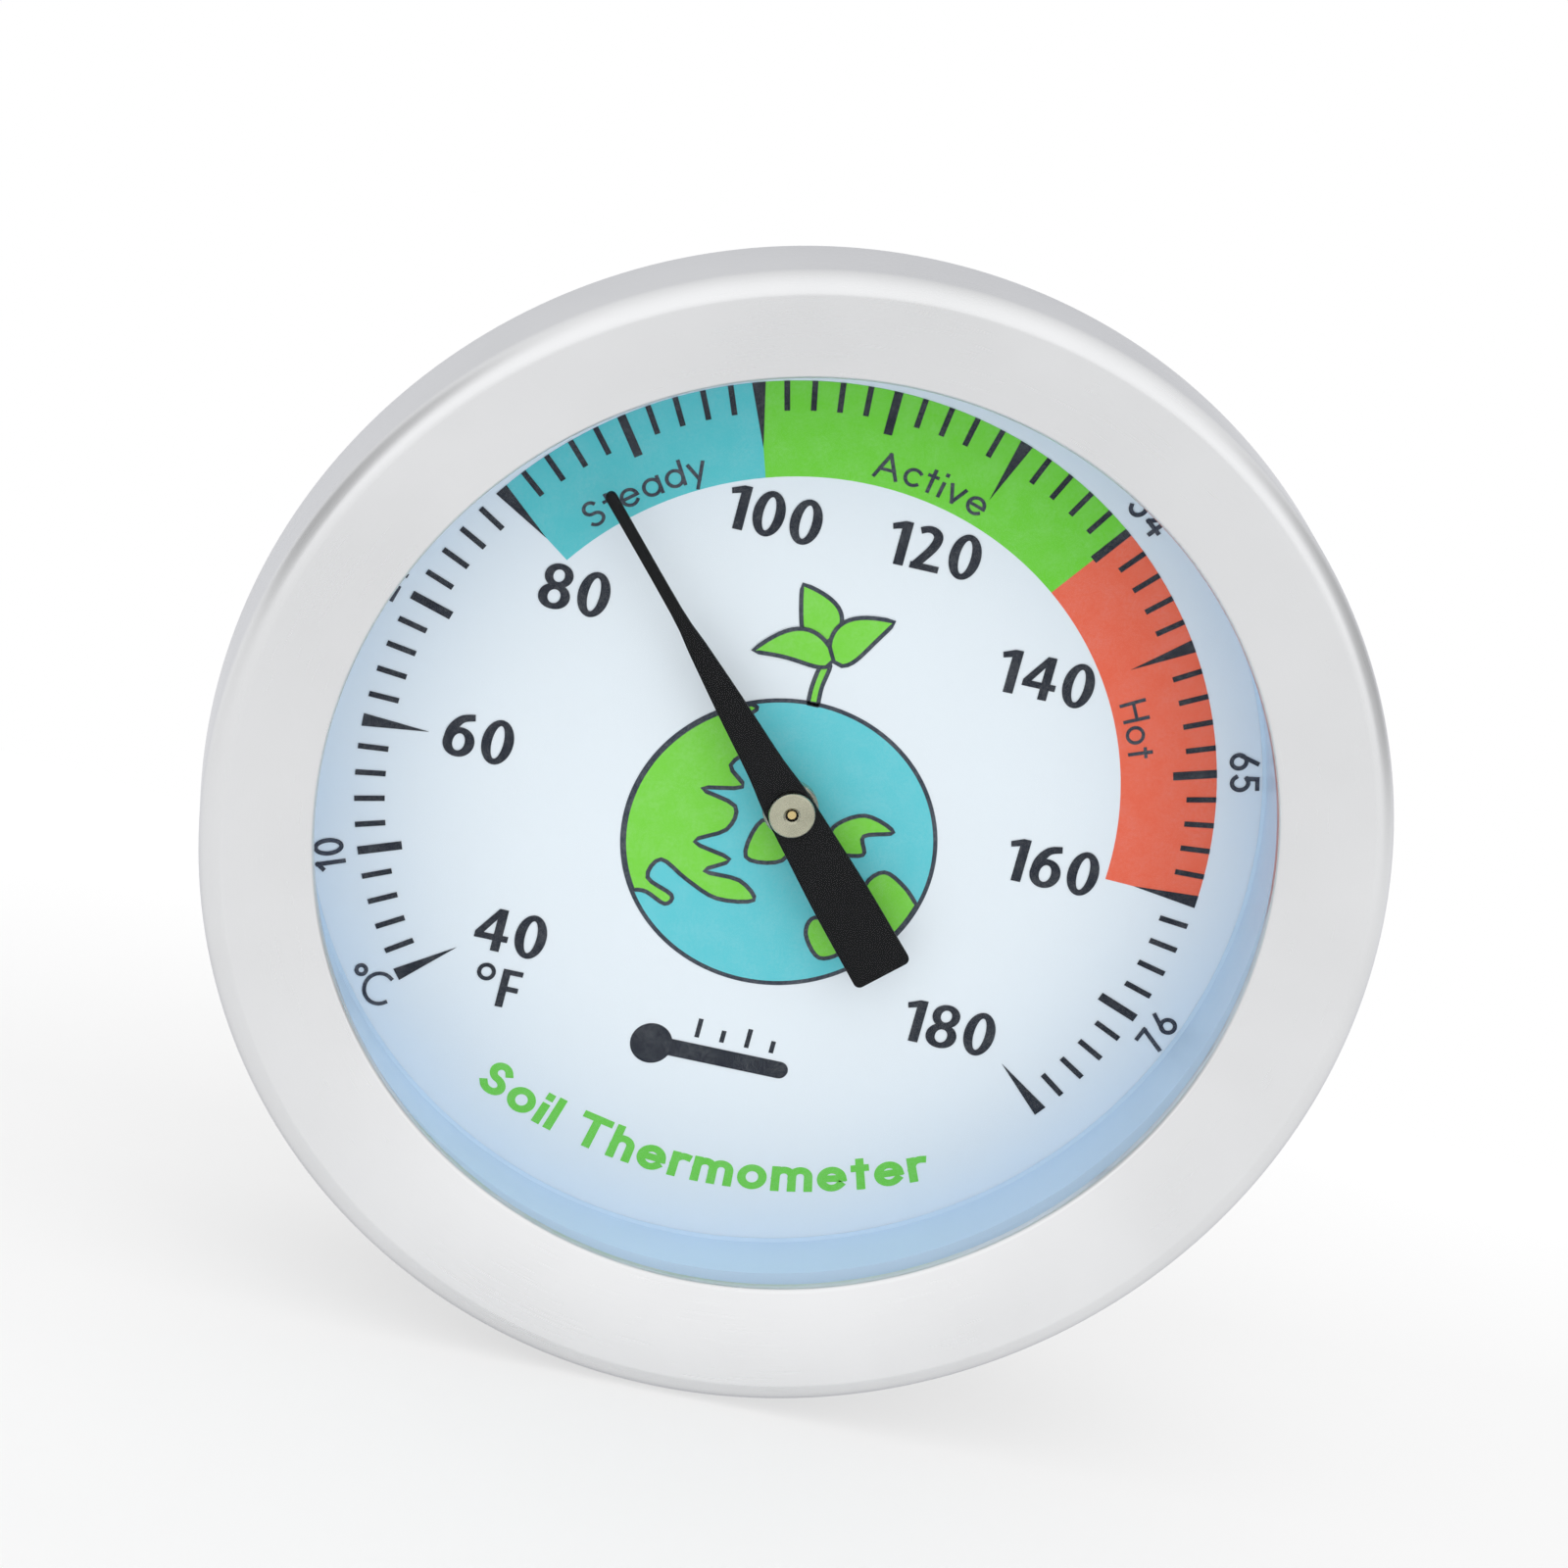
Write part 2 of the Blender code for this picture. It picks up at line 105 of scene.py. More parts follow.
# Pointer and hub
POINTER_DEG = 132.55
POINTER_HALF_WIDTHS = (
    (17.3 * MM, 0.27 * MM),
    (11.2 * MM, 0.28 * MM),
    (9.1 * MM, 0.45 * MM),
    (6.0 * MM, 0.68 * MM),
    (2.6 * MM, 0.88 * MM),
    (0.7 * MM, 1.10 * MM),
    (-1.9 * MM, 1.23 * MM),
    (-5.0 * MM, 1.37 * MM),
    (-8.9 * MM, 1.43 * MM),
)
POINTER_TAIL = -9.2 * MM
TAIL_CORNER = 0.3 * MM
POINTER_EDGE = 0.05 * MM
HUB_RADIUS = 1.08 * MM
HUB_NECK = 0.55 * MM
HUB_BORE = 0.3 * MM
HUB_EDGE = 0.1 * MM
HUB_MOUTH_DEPTH = 0.08 * MM

# Stem and its fittings
SEAL_BORE = 4.7 * MM
SEAL_EDGE = 0.2 * MM
NECK_RADIUS = 4.5 * MM
NECK_FLANGE = 1.2 * MM
NECK_CHAMFER = 0.4 * MM
TUBE_SHEET = 0.5 * MM
TUBE_EDGE = 0.08 * MM
TIP_SPIGOT = 2.475 * MM
TIP_SHOULDER_EDGE = 0.1 * MM
TIP_TAPER_START = 0.8 * MM
TIP_TAPER_TURN = 1.1 * MM
TIP_TAPER_STEP = 0.04 * MM
TIP_NOSE = 0.35 * MM

# Dial print
INK = 0.012 * MM
FIRST_COAT = 0.5 * INK
SECOND_COAT = 1.5 * INK
TOP_COAT = 2 * INK
STROKE_STEP = 0.05
PEN_STEP = 0.04
PEN_STEPS_END = 0.4
OVAL_STEPS = 48
NUMERAL_GAP = 0.15
NUMERAL_HEIGHT = 2.1 * MM
UNIT_HEIGHT = 1.9 * MM
UNIT_CORNER = (-12.0 * MM, -13.0 * MM)
SCALE_LOW = 40
SCALE_HIGH = 180
SCALE_MIDDLE = 110
DEG_PER_F = 1.8377
SCALE_RIM = 20.0 * MM
MINOR_TICK = (18.6 * MM, 0.26 * MM)
MEDIUM_TICK = (17.95 * MM, 0.40 * MM)
WEDGE_TIP = 16.9 * MM
WEDGE_WIDTH = 0.62 * MM
ZONE_INNER = 15.5 * MM
CELSIUS_READINGS = range(50, 180, 20)
CELSIUS_HEIGHT = 1.4 * MM
CELSIUS_BASE = 20.6 * MM
CELSIUS_PEN = 0.17
INWARD_FROM = 170
CELSIUS_UNIT_HEIGHT = 1.7 * MM
CELSIUS_UNIT_PEN = 0.12
CELSIUS_UNIT_FOOT = (-16.38 * MM, -14.2 * MM)
DEGREE_RING = ((-17.25, -12.62), (0.32, 0.32), (0.13, 0.13))
LETTER_GAP = 0.2
WORD_HEIGHT = 1.25 * MM
WORD_BASE = 15.9 * MM
WORD_PEN = 0.14
WORD_GAP = 0.16
TITLE_PEN = 0.25
TITLE_GAP = 0.13
TITLE_HEIGHT = 1.7 * MM
TITLE_WIDTH = 22.9 * MM
TITLE_RADIUS = 25.6 * MM
TITLE_CENTRE = (0.3 * MM, 6.05 * MM)
ZONES = (("cool", 80, 100), ("mild", 100, 130), ("hot", 130, 160))
GLOBE_CENTRE = (0.15 * MM, -2.2 * MM)
GLOBE_RADII = (7.3 * MM, 6.95 * MM)
GLOBE_STEP_DEG = 3
OUTLINE = 0.2 * MM
LEAF_STEPS = 14
LEAF_BELLY = 0.65
LEAF_FULLNESS = 0.8

# Thermometer sign, in millimetres about its own centre
SIGN_CENTRE = Vector((0.0, -13.2))
SIGN_BULB = (-3.2, 1.0)
SIGN_TUBE = (-2.4, 3.0, 0.42)
SIGN_MARKS = ((-1.2, 0.95), (0.0, 0.6), (1.2, 0.95), (2.4, 0.6))
SIGN_MARK_FOOT = 0.75
SIGN_MARK_HALF = 0.11


def scale_angle(fahrenheit):
    """Angle of a reading, in degrees anticlockwise from the dial's right."""
    return 90 - (fahrenheit - SCALE_MIDDLE) * DEG_PER_F


def span(node):
    """(outer radius, back, front) of a turned CAD node, heights counted from the dial's face."""
    low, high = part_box(node)
    return high.x, DIAL_FACE - high.y, DIAL_FACE - low.y


# Materials

class Look:
    """A Principled material, with short calls for the nodes that drive it."""

    def __init__(self, name, colour, roughness, metallic=0.0, **sockets):
        self.material = bpy.data.materials.new(name)
        self.material.use_nodes = True
        self.tree = self.material.node_tree
        self.shader = self.tree.nodes["Principled BSDF"]
        self.set(self.shader, "Base Color", (*colour, 1))
        self.set(self.shader, "Roughness", roughness)
        self.set(self.shader, "Metallic", metallic)
        for socket, value in sockets.items():
            self.set(self.shader, socket.replace("_", " "), value)
        self.material.diffuse_color = (*colour, 1)

    def set(self, node, socket, value):
        if isinstance(value, bpy.types.NodeSocket):
            self.tree.links.new(value, node.inputs[socket])
        else:
            node.inputs[socket].default_value = value

    def node(self, kind, inputs=(), **settings):
        node = self.tree.nodes.new(kind)
        for key, value in settings.items():
            setattr(node, key, value)
        for socket, value in inputs:
            self.set(node, socket, value)
        return node

    def place(self):
        return self.node("ShaderNodeTexCoord").outputs["Object"]

    def math(self, operation, *values):
        node = self.node("ShaderNodeMath", enumerate(values), operation=operation)
        return node.outputs[0]

    def around_axis(self, along, around):
        """Coordinates that are fine across circles about the stem's axis and slow along them."""
        x, y, z = self.node("ShaderNodeSeparateXYZ", [(0, self.place())]).outputs
        squares = self.math("ADD", self.math("MULTIPLY", x, x), self.math("MULTIPLY", z, z))
        radius = self.math("SQRT", squares)
        across = self.math("MULTIPLY", self.math("ADD", radius, y), along)
        turn_x = self.math("MULTIPLY", self.math("DIVIDE", x, radius), around)
        turn_z = self.math("MULTIPLY", self.math("DIVIDE", z, radius), around)
        combined = self.node("ShaderNodeCombineXYZ", [(0, turn_x), (1, turn_z), (2, across)])
        return combined.outputs[0], radius

    def stretched(self, scale):
        mapping = self.node("ShaderNodeMapping", [("Vector", self.place()), ("Scale", scale)])
        return mapping.outputs[0]

    def noise(self, vector, scale, detail=2.0, roughness=0.5):
        node = self.node(
            "ShaderNodeTexNoise",
            [("Vector", vector), ("Scale", scale), ("Detail", detail), ("Roughness", roughness)],
        )
        return node.outputs["Fac"]

    def remap(self, value, low, high, start=0.3, end=0.7):
        node = self.node("ShaderNodeMapRange", [
            ("Value", value), ("From Min", start), ("From Max", end), ("To Min", low), ("To Max", high),
        ])
        return node.outputs[0]

    def blend(self, factor, first, second):
        node = self.node("ShaderNodeMix", data_type="RGBA")
        self.set(node, 0, factor)
        self.set(node, 6, (*first, 1) if isinstance(first, tuple) else first)
        self.set(node, 7, (*second, 1) if isinstance(second, tuple) else second)
        return node.outputs[2]

    def colour(self, value):
        self.set(self.shader, "Base Color", value)

    def mottle(self, pattern, colour, share):
        """The colour, darkened to a share of itself where the pattern is low."""
        dark = tuple(c * share for c in colour)
        self.colour(self.blend(self.remap(pattern, 0.0, 1.0), dark, colour))

    def rough(self, value):
        self.set(self.shader, "Roughness", value)

    def bump(self, height, strength, distance):
        node = self.node(
            "ShaderNodeBump", [("Height", height), ("Strength", strength), ("Distance", distance)]
        )
        self.set(self.shader, "Normal", node.outputs[0])


def turned_steel(name, colour, roughness, lines, depth):
    """Satin stainless with fine lines turned round the stem's axis and a soft cloudy stain."""
    look = Look(name, colour, roughness, 1.0, Specular_Tint=STEEL_EDGE)
    grain, _ = look.around_axis(lines, 5.0)
    fine = look.noise(grain, 1.0, 3.0, 0.65)
    cloud = look.noise(look.place(), 90.0, 3.0)
    look.mottle(cloud, colour, 0.93)
    mixed = look.math("ADD", look.math("MULTIPLY", fine, 0.6), look.math("MULTIPLY", cloud, 0.4))
    look.rough(look.remap(mixed, roughness - 0.05, roughness + 0.06))
    look.bump(fine, 0.35, depth)
    return look.material


def drawn_steel(name, colour, roughness):
    """Tube steel with long drawing lines along the stem and faint cross scuffs."""
    look = Look(name, colour, roughness, 1.0)
    lines = look.noise(look.stretched((9000, 60, 9000)), 1.0, 3.0, 0.6)
    scuffs = look.noise(look.stretched((500, 700, 500)), 1.0, 2.0)
    look.mottle(scuffs, colour, 0.96)
    look.rough(look.remap(lines, roughness - 0.06, roughness + 0.08))
    look.bump(lines, 0.3, 0.00001)
    return look.material


def machined(name, colour, roughness):
    """Small turned fittings: close tool rings and a little tarnish."""
    look = Look(name, colour, roughness, 1.0)
    rings, _ = look.around_axis(9000.0, 2.0)
    tool = look.noise(rings, 1.0, 2.0)
    tarnish = look.noise(look.place(), 700.0, 3.0)
    look.mottle(tarnish, colour, 0.8)
    look.rough(look.remap(tool, roughness - 0.08, roughness + 0.1))
    look.bump(tool, 0.5, 0.000012)
    return look.material


def moulded(name, colour, roughness, grain=1500.0, depth=0.00001, shine=0.5):
    """Plain moulded plastic or rubber with a faint skin texture."""
    look = Look(name, colour, roughness, Specular_IOR_Level=shine)
    skin = look.noise(look.place(), grain, 3.0)
    shade = look.noise(look.place(), grain / 12, 2.0)
    look.mottle(shade, colour, 0.9)
    look.rough(look.remap(skin, roughness - 0.06, roughness + 0.06))
    look.bump(skin, 0.3, depth)
    return look.material


def enamel(name, middle, rim):
    """The dial's white coat, with painted shade that turns it bluer and darker towards the rim, and the
    faint tooth of printed sheet.
    """
    look = Look(name, middle, 0.42, Specular_IOR_Level=0.3, Coat_Weight=0.1, Coat_Roughness=0.3)
    _, radius = look.around_axis(1.0, 1.0)
    tooth = look.noise(look.place(), 9000.0, 2.0)
    cloud = look.noise(look.place(), 260.0, 2.0)
    # Painted shade: the coat is blended towards the darker, bluer rim colour further out, where the wall
    # and bezel shade the dial.
    edge = look.remap(radius, 0.0, 1.0, 12 * MM, 22.5 * MM)
    painted_rim_shade = look.blend(look.math("POWER", edge, 1.6), middle, rim)
    shade = tuple(c * 0.97 for c in middle)
    look.colour(look.blend(look.remap(cloud, 0.0, 0.25), painted_rim_shade, shade))
    look.rough(look.remap(tooth, 0.38, 0.5))
    look.bump(tooth, 0.15, 0.000004)
    return look.material


def ink(name, colour, mottle=0.05):
    """Screen-printed ink: a slightly uneven film with a soft edge to its shine."""
    look = Look(name, colour, 0.45, Specular_IOR_Level=0.15)
    dots = look.noise(look.place(), 6500.0, 2.0)
    patches = look.noise(look.place(), 900.0, 2.0)
    light = tuple(c + (1 - c) * mottle for c in colour)
    thin_film = look.remap(look.math("MULTIPLY", dots, patches), 0.0, 1.0, 0.15, 0.4)
    look.colour(look.blend(thin_film, colour, light))
    look.rough(look.remap(dots, 0.38, 0.55))
    return look.material


def clear_glass(name):
    """Flat clear glass: see-through from in front, mirroring more at a slant."""
    look = Look(name, (1.0, 1.0, 1.0), 0.02, 1.0)
    # The flat colour stands in for the shader where that isn't drawn.
    look.material.diffuse_color = (0.0, 0.0, 0.0, 1)
    clear = look.node("ShaderNodeBsdfTransparent", [("Color", (0.985, 0.995, 1.0, 1))])
    slant = look.node("ShaderNodeFresnel", [("IOR", 1.15)])
    outside = look.math("SUBTRACT", 1.0, look.node("ShaderNodeNewGeometry").outputs["Backfacing"])
    mix = look.node("ShaderNodeMixShader")
    look.set(mix, 0, look.math("MULTIPLY", slant.outputs[0], outside))
    look.set(mix, 1, clear.outputs[0])
    look.set(mix, 2, look.shader.outputs[0])
    look.set(look.tree.nodes["Material Output"], "Surface", mix.outputs[0])
    return look.material


STEEL_EDGE = (0.74, 0.745, 0.77, 1)
bezel_steel = turned_steel("bezel_steel", (0.775, 0.78, 0.79), 0.30, 16000.0, 0.000006)
case_steel = turned_steel("case_steel", (0.72, 0.725, 0.735), 0.27, 12000.0, 0.000008)
nut_steel = turned_steel("nut_steel", (0.70, 0.70, 0.705), 0.24, 9000.0, 0.000008)
stem_steel = drawn_steel("stem_steel", (0.68, 0.685, 0.695), 0.20)
nickel = machined("nickel", (0.50, 0.475, 0.355), 0.26)
brass = machined("brass", (0.74, 0.56, 0.26), 0.28)
bimetal = machined("bimetal_strip", (0.55, 0.50, 0.44), 0.32)
spring_steel = machined("spring_steel", (0.45, 0.46, 0.48), 0.28)
nylon = moulded("nylon", (0.78, 0.76, 0.70), 0.45)
# Painted shade: this pale plastic is tinted blue for the bluish shade inside the head; the hidden dial
# support ring shares it.
spacer_plastic_blue_shade = moulded("spacer_plastic_blue_shade", (0.58, 0.74, 0.92), 0.38, 800.0)
rubber = moulded("rubber", (0.02, 0.02, 0.022), 0.6)
black_paint = moulded("black_paint", (0.006, 0.0062, 0.0068), 0.42, 5000.0, 0.000006, 0.1)
glass = clear_glass("lens_glass")
# The second colour is painted shade at the dial's rim.
dial_enamel = enamel("dial_enamel", (0.88, 0.925, 0.965), (0.77, 0.86, 0.955))
slate_ink = ink("slate_ink", (0.02, 0.024, 0.035), 0.04)
fine_ink = ink("fine_ink", (0.035, 0.042, 0.065), 0.06)
line_ink = ink("line_ink", (0.04, 0.05, 0.07), 0.06)
blue_ink = ink("blue_ink", (0.107, 0.595, 0.64))
green_ink = ink("green_ink", (0.18, 0.70, 0.048))
red_ink = ink("red_ink", (0.93, 0.155, 0.083))
sea_ink = ink("sea_ink", (0.137, 0.635, 0.70))
leaf_ink = ink("leaf_ink", (0.22, 0.72, 0.065))
title_ink = ink("title_ink", (0.17, 0.66, 0.085))


# Mesh tools

def piece(name, shape, material, body, slot, *nodes, smooth_deg=35):
    """Makes a bmesh in the dial's frame into a piece on a body, in place of any CAD nodes named."""
    bmesh.ops.transform(shape, matrix=TO_ROW, verts=shape.verts)
    mesh = bpy.data.meshes.new(name)
    shape.to_mesh(mesh)
    shape.free()
    mesh.materials.append(material)
    if smooth_deg:
        mesh.shade_smooth()
        mesh.set_sharp_from_angle(angle=math.radians(smooth_deg))
    made = bpy.data.objects.new(name, mesh)
    bpy.context.scene.collection.objects.link(made)
    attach(made, body)
    if nodes:
        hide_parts(*nodes)
    return made


def arc(centre_r, centre_z, radius, start_deg, end_deg, count):
    """Points of a fillet in a turned profile."""
    points = []
    for i in range(count + 1):
        angle = math.radians(start_deg + (end_deg - start_deg) * i / count)
        points.append((centre_r + radius * math.cos(angle), centre_z + radius * math.sin(angle)))
    return points


def turned(profile, steps, closed=True):
    """A profile of (radius, height) points spun about the dial's axis, on which an open one ends."""
    shape = bmesh.new()
    corners = [shape.verts.new((r, 0, z)) for r, z in profile]
    pairs = list(zip(corners, corners[1:]))
    if closed:
        pairs.append((corners[-1], corners[0]))
    section = [shape.edges.new(pair) for pair in pairs]
    bmesh.ops.spin(
        shape, geom=corners + section, cent=(0, 0, 0), axis=(0, 0, 1),
        angle=TURN, steps=steps, use_merge=True,
    )
    bmesh.ops.remove_doubles(shape, verts=shape.verts, dist=1e-7)
    bmesh.ops.recalc_face_normals(shape, faces=shape.faces)
    return shape


def ring(outer, inner, back, front, steps, edge=0.0):
    """A ring of rectangular section with its four edges broken."""
    if not edge:
        return turned([(outer, front), (outer, back), (inner, back), (inner, front)], steps)
    profile = arc(outer - edge, front - edge, edge, 90, 0, 3)
    profile += arc(outer - edge, back + edge, edge, 0, -90, 3)
    profile += arc(inner + edge, back + edge, edge, -90, -180, 3)
    profile += arc(inner + edge, front - edge, edge, 180, 90, 3)
    return turned(profile, steps)


def raise_faces(shape, thickness):
    """Raises a flat shape's faces into a closed slab."""
    raised = bmesh.ops.extrude_face_region(shape, geom=shape.faces[:])["geom"]
    moved = [v for v in raised if isinstance(v, bmesh.types.BMVert)]
    bmesh.ops.translate(shape, vec=(0, 0, thickness), verts=moved)
    bmesh.ops.recalc_face_normals(shape, faces=shape.faces)
    return shape


def slab(outline, level, thickness=INK):
    """A flat outline raised into a thin closed slab whose back is at the level given."""
    shape = bmesh.new()
    shape.faces.new([shape.verts.new((x, y, level)) for x, y in outline])
    return raise_faces(shape, thickness)


def merge(target, other):
    """Adds another bmesh to the target and frees it."""
    mesh = bpy.data.meshes.new("joined")
    other.to_mesh(mesh)
    other.free()
    target.from_mesh(mesh)
    bpy.data.meshes.remove(mesh)
    return target


def smooth_line(points, steps=5, cyclic=False):
    """A smooth line through given points."""
    last = len(points) - 1
    found = []
    for i in range(last + 1 if cyclic else last):
        near = [i - 1, i, i + 1, i + 2]
        near = [k % (last + 1) if cyclic else min(max(k, 0), last) for k in near]
        p = [Vector(points[k]) for k in near]
        for step in range(steps):
            t = step / steps
            a = 2 * p[1]
            b = (p[2] - p[0]) * t
            c = (2 * p[0] - 5 * p[1] + 4 * p[2] - p[3]) * t * t
            d = (3 * p[1] - p[0] - 3 * p[2] + p[3]) * t * t * t
            found.append(tuple((a + b + c + d) / 2))
    if not cyclic:
        found.append(tuple(points[-1]))
    return found


def ribbon(line, widths, level, thickness, closed=False):
    """A flat band of varying width along a line, raised to a thickness."""
    count = len(line)
    spans = count if closed else count - 1
    shape = bmesh.new()
    bmesh.ops.create_grid(shape, x_segments=spans, y_segments=1, size=1)
    for vertex in shape.verts:
        i = round((vertex.co.x + 1) / 2 * spans) % count
        after = line[(i + 1) % count] if closed else line[min(i + 1, count - 1)]
        before = line[i - 1] if closed else line[max(i - 1, 0)]
        along = (Vector(after) - Vector(before)).normalized()
        half = math.copysign(widths[i] / 2, vertex.co.y)
        point = Vector(line[i]) + Vector((-along.y, along.x)) * half
        vertex.co = (point.x, point.y, level)
    bmesh.ops.remove_doubles(shape, verts=shape.verts, dist=1e-9)
    return raise_faces(shape, thickness)


# Heavy numerals, one unit tall: how each is drawn, and how wide it is

def stack(target, stroke):
    """Adds a stroke a hair above those already there, so that no two faces coincide."""
    top = max((vertex.co.z for vertex in target.verts), default=1.0)
    bmesh.ops.translate(stroke, vec=(0, 0, top - 1.0 + STROKE_STEP), verts=stroke.verts)
    merge(target, stroke)


def oval_ring(target, centre, outer, inner):
    """An oval with an oval hole, outer and inner being half widths and half heights."""
    line = []
    widths = []
    for i in range(OVAL_STEPS):
        across = math.cos(TURN * i / OVAL_STEPS)
        up = math.sin(TURN * i / OVAL_STEPS)
        edge = Vector((outer[0] * across, outer[1] * up))
        hole = Vector((inner[0] * across, inner[1] * up))
        line.append(tuple(Vector(centre) + (edge + hole) / 2))
        widths.append((edge - hole).length)
    stack(target, ribbon(line, widths, 0, 1, closed=True))


def brush(target, path):
    """A curved stroke along (x, y, width) points, square at both ends."""
    line = smooth_line([(x, y) for x, y, _ in path], 4)
    widths = [width for _, width in smooth_line([(i, point[2]) for i, point in enumerate(path)], 4)]
    stack(target, ribbon(line, widths, 0, 1))


def block(target, *outline):
    """A stroke with straight sides, from its corners."""
    stack(target, slab(outline, 0, 1))


def draw_nought(target):
    oval_ring(target, (0.34, 0.5), (0.35, 0.52), (0.13, 0.385))


def draw_one(target):
    block(
        target,
        (0.225, 0), (0.445, 0), (0.445, 1), (0.27, 1), (0, 0.89), (0.035, 0.765), (0.225, 0.82),
    )


def draw_two(target):
    brush(target, (
        (0.05, 0.87, 0.15), (0.2, 0.93, 0.15), (0.34, 0.92, 0.17), (0.45, 0.83, 0.2),
        (0.46, 0.69, 0.21), (0.385, 0.5, 0.2), (0.25, 0.29, 0.19), (0.12, 0.1, 0.19),
    ))
    block(target, (0, 0), (0.64, 0), (0.64, 0.15), (0, 0.15))


def draw_four(target):
    block(target, (0.42, 0), (0.62, 0), (0.62, 1), (0.42, 1))
    block(target, (0, 0.245), (0.75, 0.245), (0.75, 0.39), (0, 0.39))
    block(target, (0, 0.3), (0.17, 0.36), (0.47, 0.82), (0.47, 1), (0.42, 1), (0, 0.39))


def draw_six(target):
    oval_ring(target, (0.345, 0.32), (0.35, 0.34), (0.135, 0.2))
    brush(target, (
        (0.1, 0.33, 0.2), (0.125, 0.53, 0.22), (0.21, 0.73, 0.2),
        (0.35, 0.87, 0.17), (0.585, 0.935, 0.15),
    ))


def draw_eight(target):
    oval_ring(target, (0.335, 0.745), (0.315, 0.275), (0.125, 0.145))
    oval_ring(target, (0.335, 0.27), (0.35, 0.29), (0.14, 0.16))


NUMERALS = {
    "0": (draw_nought, 0.68),
    "1": (draw_one, 0.44),
    "2": (draw_two, 0.65),
    "4": (draw_four, 0.745),
    "6": (draw_six, 0.69),
    "8": (draw_eight, 0.68),
}


def print_number(target, text, centre, height, level):
    """A number in the heavy numerals, upright and centred at a point."""
    shape = bmesh.new()
    across = 0
    for sign in text:
        draw, width = NUMERALS[sign]
        single = bmesh.new()
        draw(single)
        bmesh.ops.translate(single, vec=(across, 0, 0), verts=single.verts)
        merge(shape, single)
        across += width + NUMERAL_GAP
    bmesh.ops.translate(shape, vec=((NUMERAL_GAP - across) / 2, -0.5, 0), verts=shape.verts)
    bmesh.ops.scale(shape, vec=(height, height, INK), verts=shape.verts)
    bmesh.ops.translate(shape, vec=(*centre, level), verts=shape.verts)
    merge(target, shape)


# Round-and-straight lettering of one even pen: the strokes' middle lines, on capitals one unit tall

def bow(x, y, across, up, start_deg, end_deg):
    """Part of an oval about (x, y)."""
    steps = max(4, round(abs(end_deg - start_deg) / 12))
    points = []
    for i in range(steps + 1):
        angle = math.radians(start_deg + (end_deg - start_deg) * i / steps)
        points.append((x + across * math.cos(angle), y + up * math.sin(angle)))
    return points


SMALL_O = bow(0.31, 0.34, 0.31, 0.34, 0, 360)
ARCH = bow(0.24, 0.44, 0.24, 0.24, 180, 0) + [(0.48, 0)]
SECOND_ARCH = [(x + 0.48, y) for x, y in ARCH]
LETTERS = {
    "A": (0.84, [(0, 0), (0.42, 1)], [(0.42, 1), (0.84, 0)], [(0.15, 0.34), (0.69, 0.34)]),
    "C": (0.72, bow(0.46, 0.5, 0.46, 0.5, 52, 308)),
    "H": (0.7, [(0, 0), (0, 1)], [(0.7, 0), (0.7, 1)], [(0, 0.53), (0.7, 0.53)]),
    "S": (0.56, bow(0.28, 0.75, 0.24, 0.25, 30, 270) + bow(0.28, 0.25, 0.28, 0.25, 80, -150)),
    "T": (0.72, [(0, 1), (0.72, 1)], [(0.36, 0), (0.36, 0.98)]),
    "a": (0.62, SMALL_O, [(0.62, 0), (0.62, 0.68)]),
    "c": (0.54, bow(0.31, 0.34, 0.31, 0.34, 48, 312)),
    "d": (0.62, SMALL_O, [(0.62, 0), (0.62, 1)]),
    "e": (0.62, bow(0.31, 0.34, 0.31, 0.34, 2, 318), [(0.02, 0.35), (0.6, 0.35)]),
    "h": (0.48, [(0, 0), (0, 1)], ARCH),
    "i": (0.0, [(0, 0), (0, 0.56)], [(0, 0.94), (0, 0.96)]),
    "l": (0.0, [(0, 0), (0, 1)]),
    "m": (0.96, [(0, 0), (0, 0.68)], ARCH, SECOND_ARCH),
    "o": (0.62, SMALL_O),
    "r": (0.3, [(0, 0), (0, 0.68)], bow(0.26, 0.42, 0.26, 0.26, 180, 72)),
    "t": (0.3, [(0.15, 0), (0.15, 0.92)], [(0, 0.68), (0.3, 0.68)]),
    "v": (0.54, [(0, 0.68), (0.27, 0)], [(0.27, 0), (0.54, 0.68)]),
    "y": (0.54, [(0, 0.68), (0.27, 0)], [(0.54, 0.68), (0.13, -0.33)]),
    "0": (0.52, bow(0.26, 0.5, 0.26, 0.5, 0, 360)),
    "1": (0.2, [(0.2, 0), (0.2, 1)], [(0, 0.84), (0.2, 1)]),
    "2": (0.52, bow(0.26, 0.74, 0.25, 0.26, 165, -32) + [(0.02, 0.02)], [(0, 0), (0.52, 0)]),
    "3": (0.5, bow(0.22, 0.76, 0.24, 0.24, 150, -90), bow(0.22, 0.26, 0.28, 0.26, 90, -150)),
    "4": (0.6, [(0.44, 0), (0.44, 1)], [(0.44, 1), (0, 0.27)], [(0, 0.27), (0.6, 0.27)]),
    "5": (0.5, [(0.46, 1), (0.1, 1)], [(0.1, 1), (0.06, 0.6)],
          bow(0.22, 0.32, 0.28, 0.32, 125, -150)),
    "6": (0.54, bow(0.27, 0.29, 0.27, 0.29, 0, 360), [(0.02, 0.36), (0.4, 1)]),
    "7": (0.5, [(0, 1), (0.5, 1)], [(0.5, 1), (0.14, 0)]),
    " ": (0.12,),
}
CLOSED_BOW_POINTS = 30


